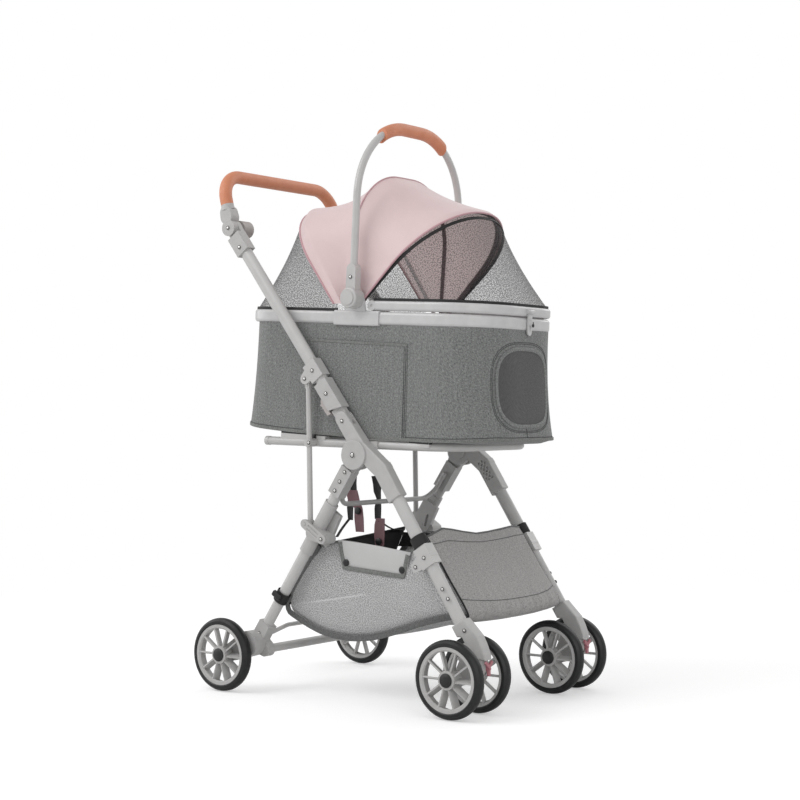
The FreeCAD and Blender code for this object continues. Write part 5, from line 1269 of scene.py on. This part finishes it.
class STROLLER_OT_straps(bpy.types.Operator):
    """Two hanging safety straps with press studs, and the narrow tapes that tie them to the basket"""
    bl_idname = "stroller.straps"
    bl_label = "Straps"

    def execute(self, context):
        make_materials(context.scene.stroller_colours)
        ribbon("strap_one_black", ((-158, -146, 440), (-159, -147, 424), (-163, -146, 408)), "webbing",
               "frame", 1.0)
        ribbon("strap_one_mauve", ((-163, -143, 409), (-170, -139, 397), (-167, -136, 386),
                                   (-150, -129, 372), (-150, -126, 350), (-146, -125, 321)),
               "webbing_mauve", "frame", -1.0)
        ribbon("strap_one_tail", ((-170, -154, 392), (-173, -157, 371), (-170, -158, 345)), "webbing",
               "frame", 3.0)
        ribbon("strap_two_black", ((-106, -98, 440), (-102, -80, 424), (-100, -82, 407), (-92, -82, 392),
                                   (-98, -81, 374), (-97, -82, 350)), "webbing", "frame", 1.0)
        ribbon("strap_two_mauve", ((-92, -70, 352), (-96, -70, 338), (-97, -70, 318), (-94, -72, 294)),
               "webbing_mauve", "frame", -1.5)
        for k, (x, z) in enumerate(((-139.5, 366.0), (-84.0, 303.0))):
            turned("strap_stud_%d" % (k + 1), from_hub(x, -2.0, z), (0, -1, 0),
                   [(7.6, 0.0), (7.6, 2.2), (6.0, 3.2), (0.4, 3.6)], "nylon_black", "frame", 24)
        flat = flat_section(6.0, 1.6)
        for name, route in (("one", ((-165, 2, 348), (-152, -40, 330), (-134, -80, 316))),
                            ("two", ((-84, 0, 346), (-95, 60, 326), (-130, 150, 317)))):
            path = np.array([from_hub(*point) for point in route]).reshape(-1, 3)
            swept("strap_tie_" + name, smooth_path(path, 24), flat, "webbing", "frame")
        return {"FINISHED"}


class STROLLER_OT_trim(bpy.types.Operator):
    """Black edges of the tray's slats, the clamps on its rails, and the clasp's keyhole"""
    bl_idname = "stroller.trim"
    bl_label = "Trim"

    def tray(self):
        """Black block a little larger than each of the tray's pale slats, so a black rim shows round it, and a
        black clamp on each of its rails.

        The block's top lies just under the slat's own top, so the slat shows pale from above.
        """
        pad_half, pad_z, pad_thick, margin = 165.4, 7.5, 5.6, 0.5
        # Each slat: its name, and its rear and front edges along the tray.
        for name, x0, x1 in (("rear", -214.0, -98.0), ("front", 112.0, 160.0)):
            middle = from_tray((x0 + x1) / 2, 0.0, pad_z)
            block("tray_pad_" + name, middle, TRAY_AHEAD, (0, 1, 0),
                  (x1 - x0 + 2 * margin, 2 * pad_half, pad_thick), "nylon_black", "frame", 1.2)
        for side, sign in (("right", 1.0), ("left", -1.0)):
            turned("tray_clamp_" + side, from_tray(-130.5, -sign * 158.0, 4.6), TRAY_AHEAD,
                   [(9.4, 0.0), (9.9, 0.6), (9.9, 9.4), (9.4, 10.0)], "nylon_black", "frame", 28)

    def clasp(self):
        """Dark keyhole in the clasp's leaf: painted shade, a black bead and slot that stand in for the shade
        inside the hole.
        """
        share = 0.38                       # of the clasp's height, up from its foot
        lo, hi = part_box("lid_clasp")
        place = np.array([hi.x, 0.0, lo.z * (1 - share) + hi.z * share])
        # painted shade: black bead where the keyhole's hole lies in shade
        bead = [(3.4, -1.0), (3.4, 0.5), (2.6, 0.7), (0.3, 0.7)]
        turned("clasp_keyhole", place, TRAY_AHEAD, bead, "black", "clasp", 20)
        slot_place = place + np.array([0.0, 0.0, 4.0 * MM])
        block("clasp_keyhole_slot", slot_place, TRAY_AHEAD, (0, 1, 0), (1.4, 2.0, 7.0), "black", "clasp",
              0.4)

    def execute(self, context):
        make_materials(context.scene.stroller_colours)
        self.tray()
        self.clasp()
        return {"FINISHED"}


OPERATORS = (STROLLER_OT_stage, STROLLER_OT_frame, STROLLER_OT_canopy, STROLLER_OT_mesh_walls,
             STROLLER_OT_carrier, STROLLER_OT_basket, STROLLER_OT_straps, STROLLER_OT_trim,
             STROLLER_OT_hardware)


class STROLLER_PT_panel(bpy.types.Panel):
    """Sidebar panel that lists the stroller's pieces"""
    bl_label = "Pet Stroller"
    bl_idname = "STROLLER_PT_panel"
    bl_space_type = "VIEW_3D"
    bl_region_type = "UI"
    bl_category = "Stroller"

    def draw(self, context):
        layout = self.layout
        for group in (context.scene.stroller_sizes, context.scene.stroller_colours):
            for key in group.bl_rna.properties.keys():
                if key not in {"rna_type", "name"}:
                    layout.prop(group, key)
        for operator in OPERATORS:
            layout.operator(operator.bl_idname)


CLASSES = (StrollerSizes, StrollerColours) + OPERATORS + (STROLLER_PT_panel,)


def register():
    for cls in CLASSES:
        bpy.utils.register_class(cls)
    bpy.types.Scene.stroller_sizes = bpy.props.PointerProperty(type=StrollerSizes)
    bpy.types.Scene.stroller_colours = bpy.props.PointerProperty(type=StrollerColours)


def unregister():
    del bpy.types.Scene.stroller_sizes
    del bpy.types.Scene.stroller_colours
    for cls in reversed(CLASSES):
        bpy.utils.unregister_class(cls)


def main():
    register()
    for operator in OPERATORS:
        group, name = operator.bl_idname.split(".")
        getattr(getattr(bpy.ops, group), name)()


if __name__ == "__main__":
    main()
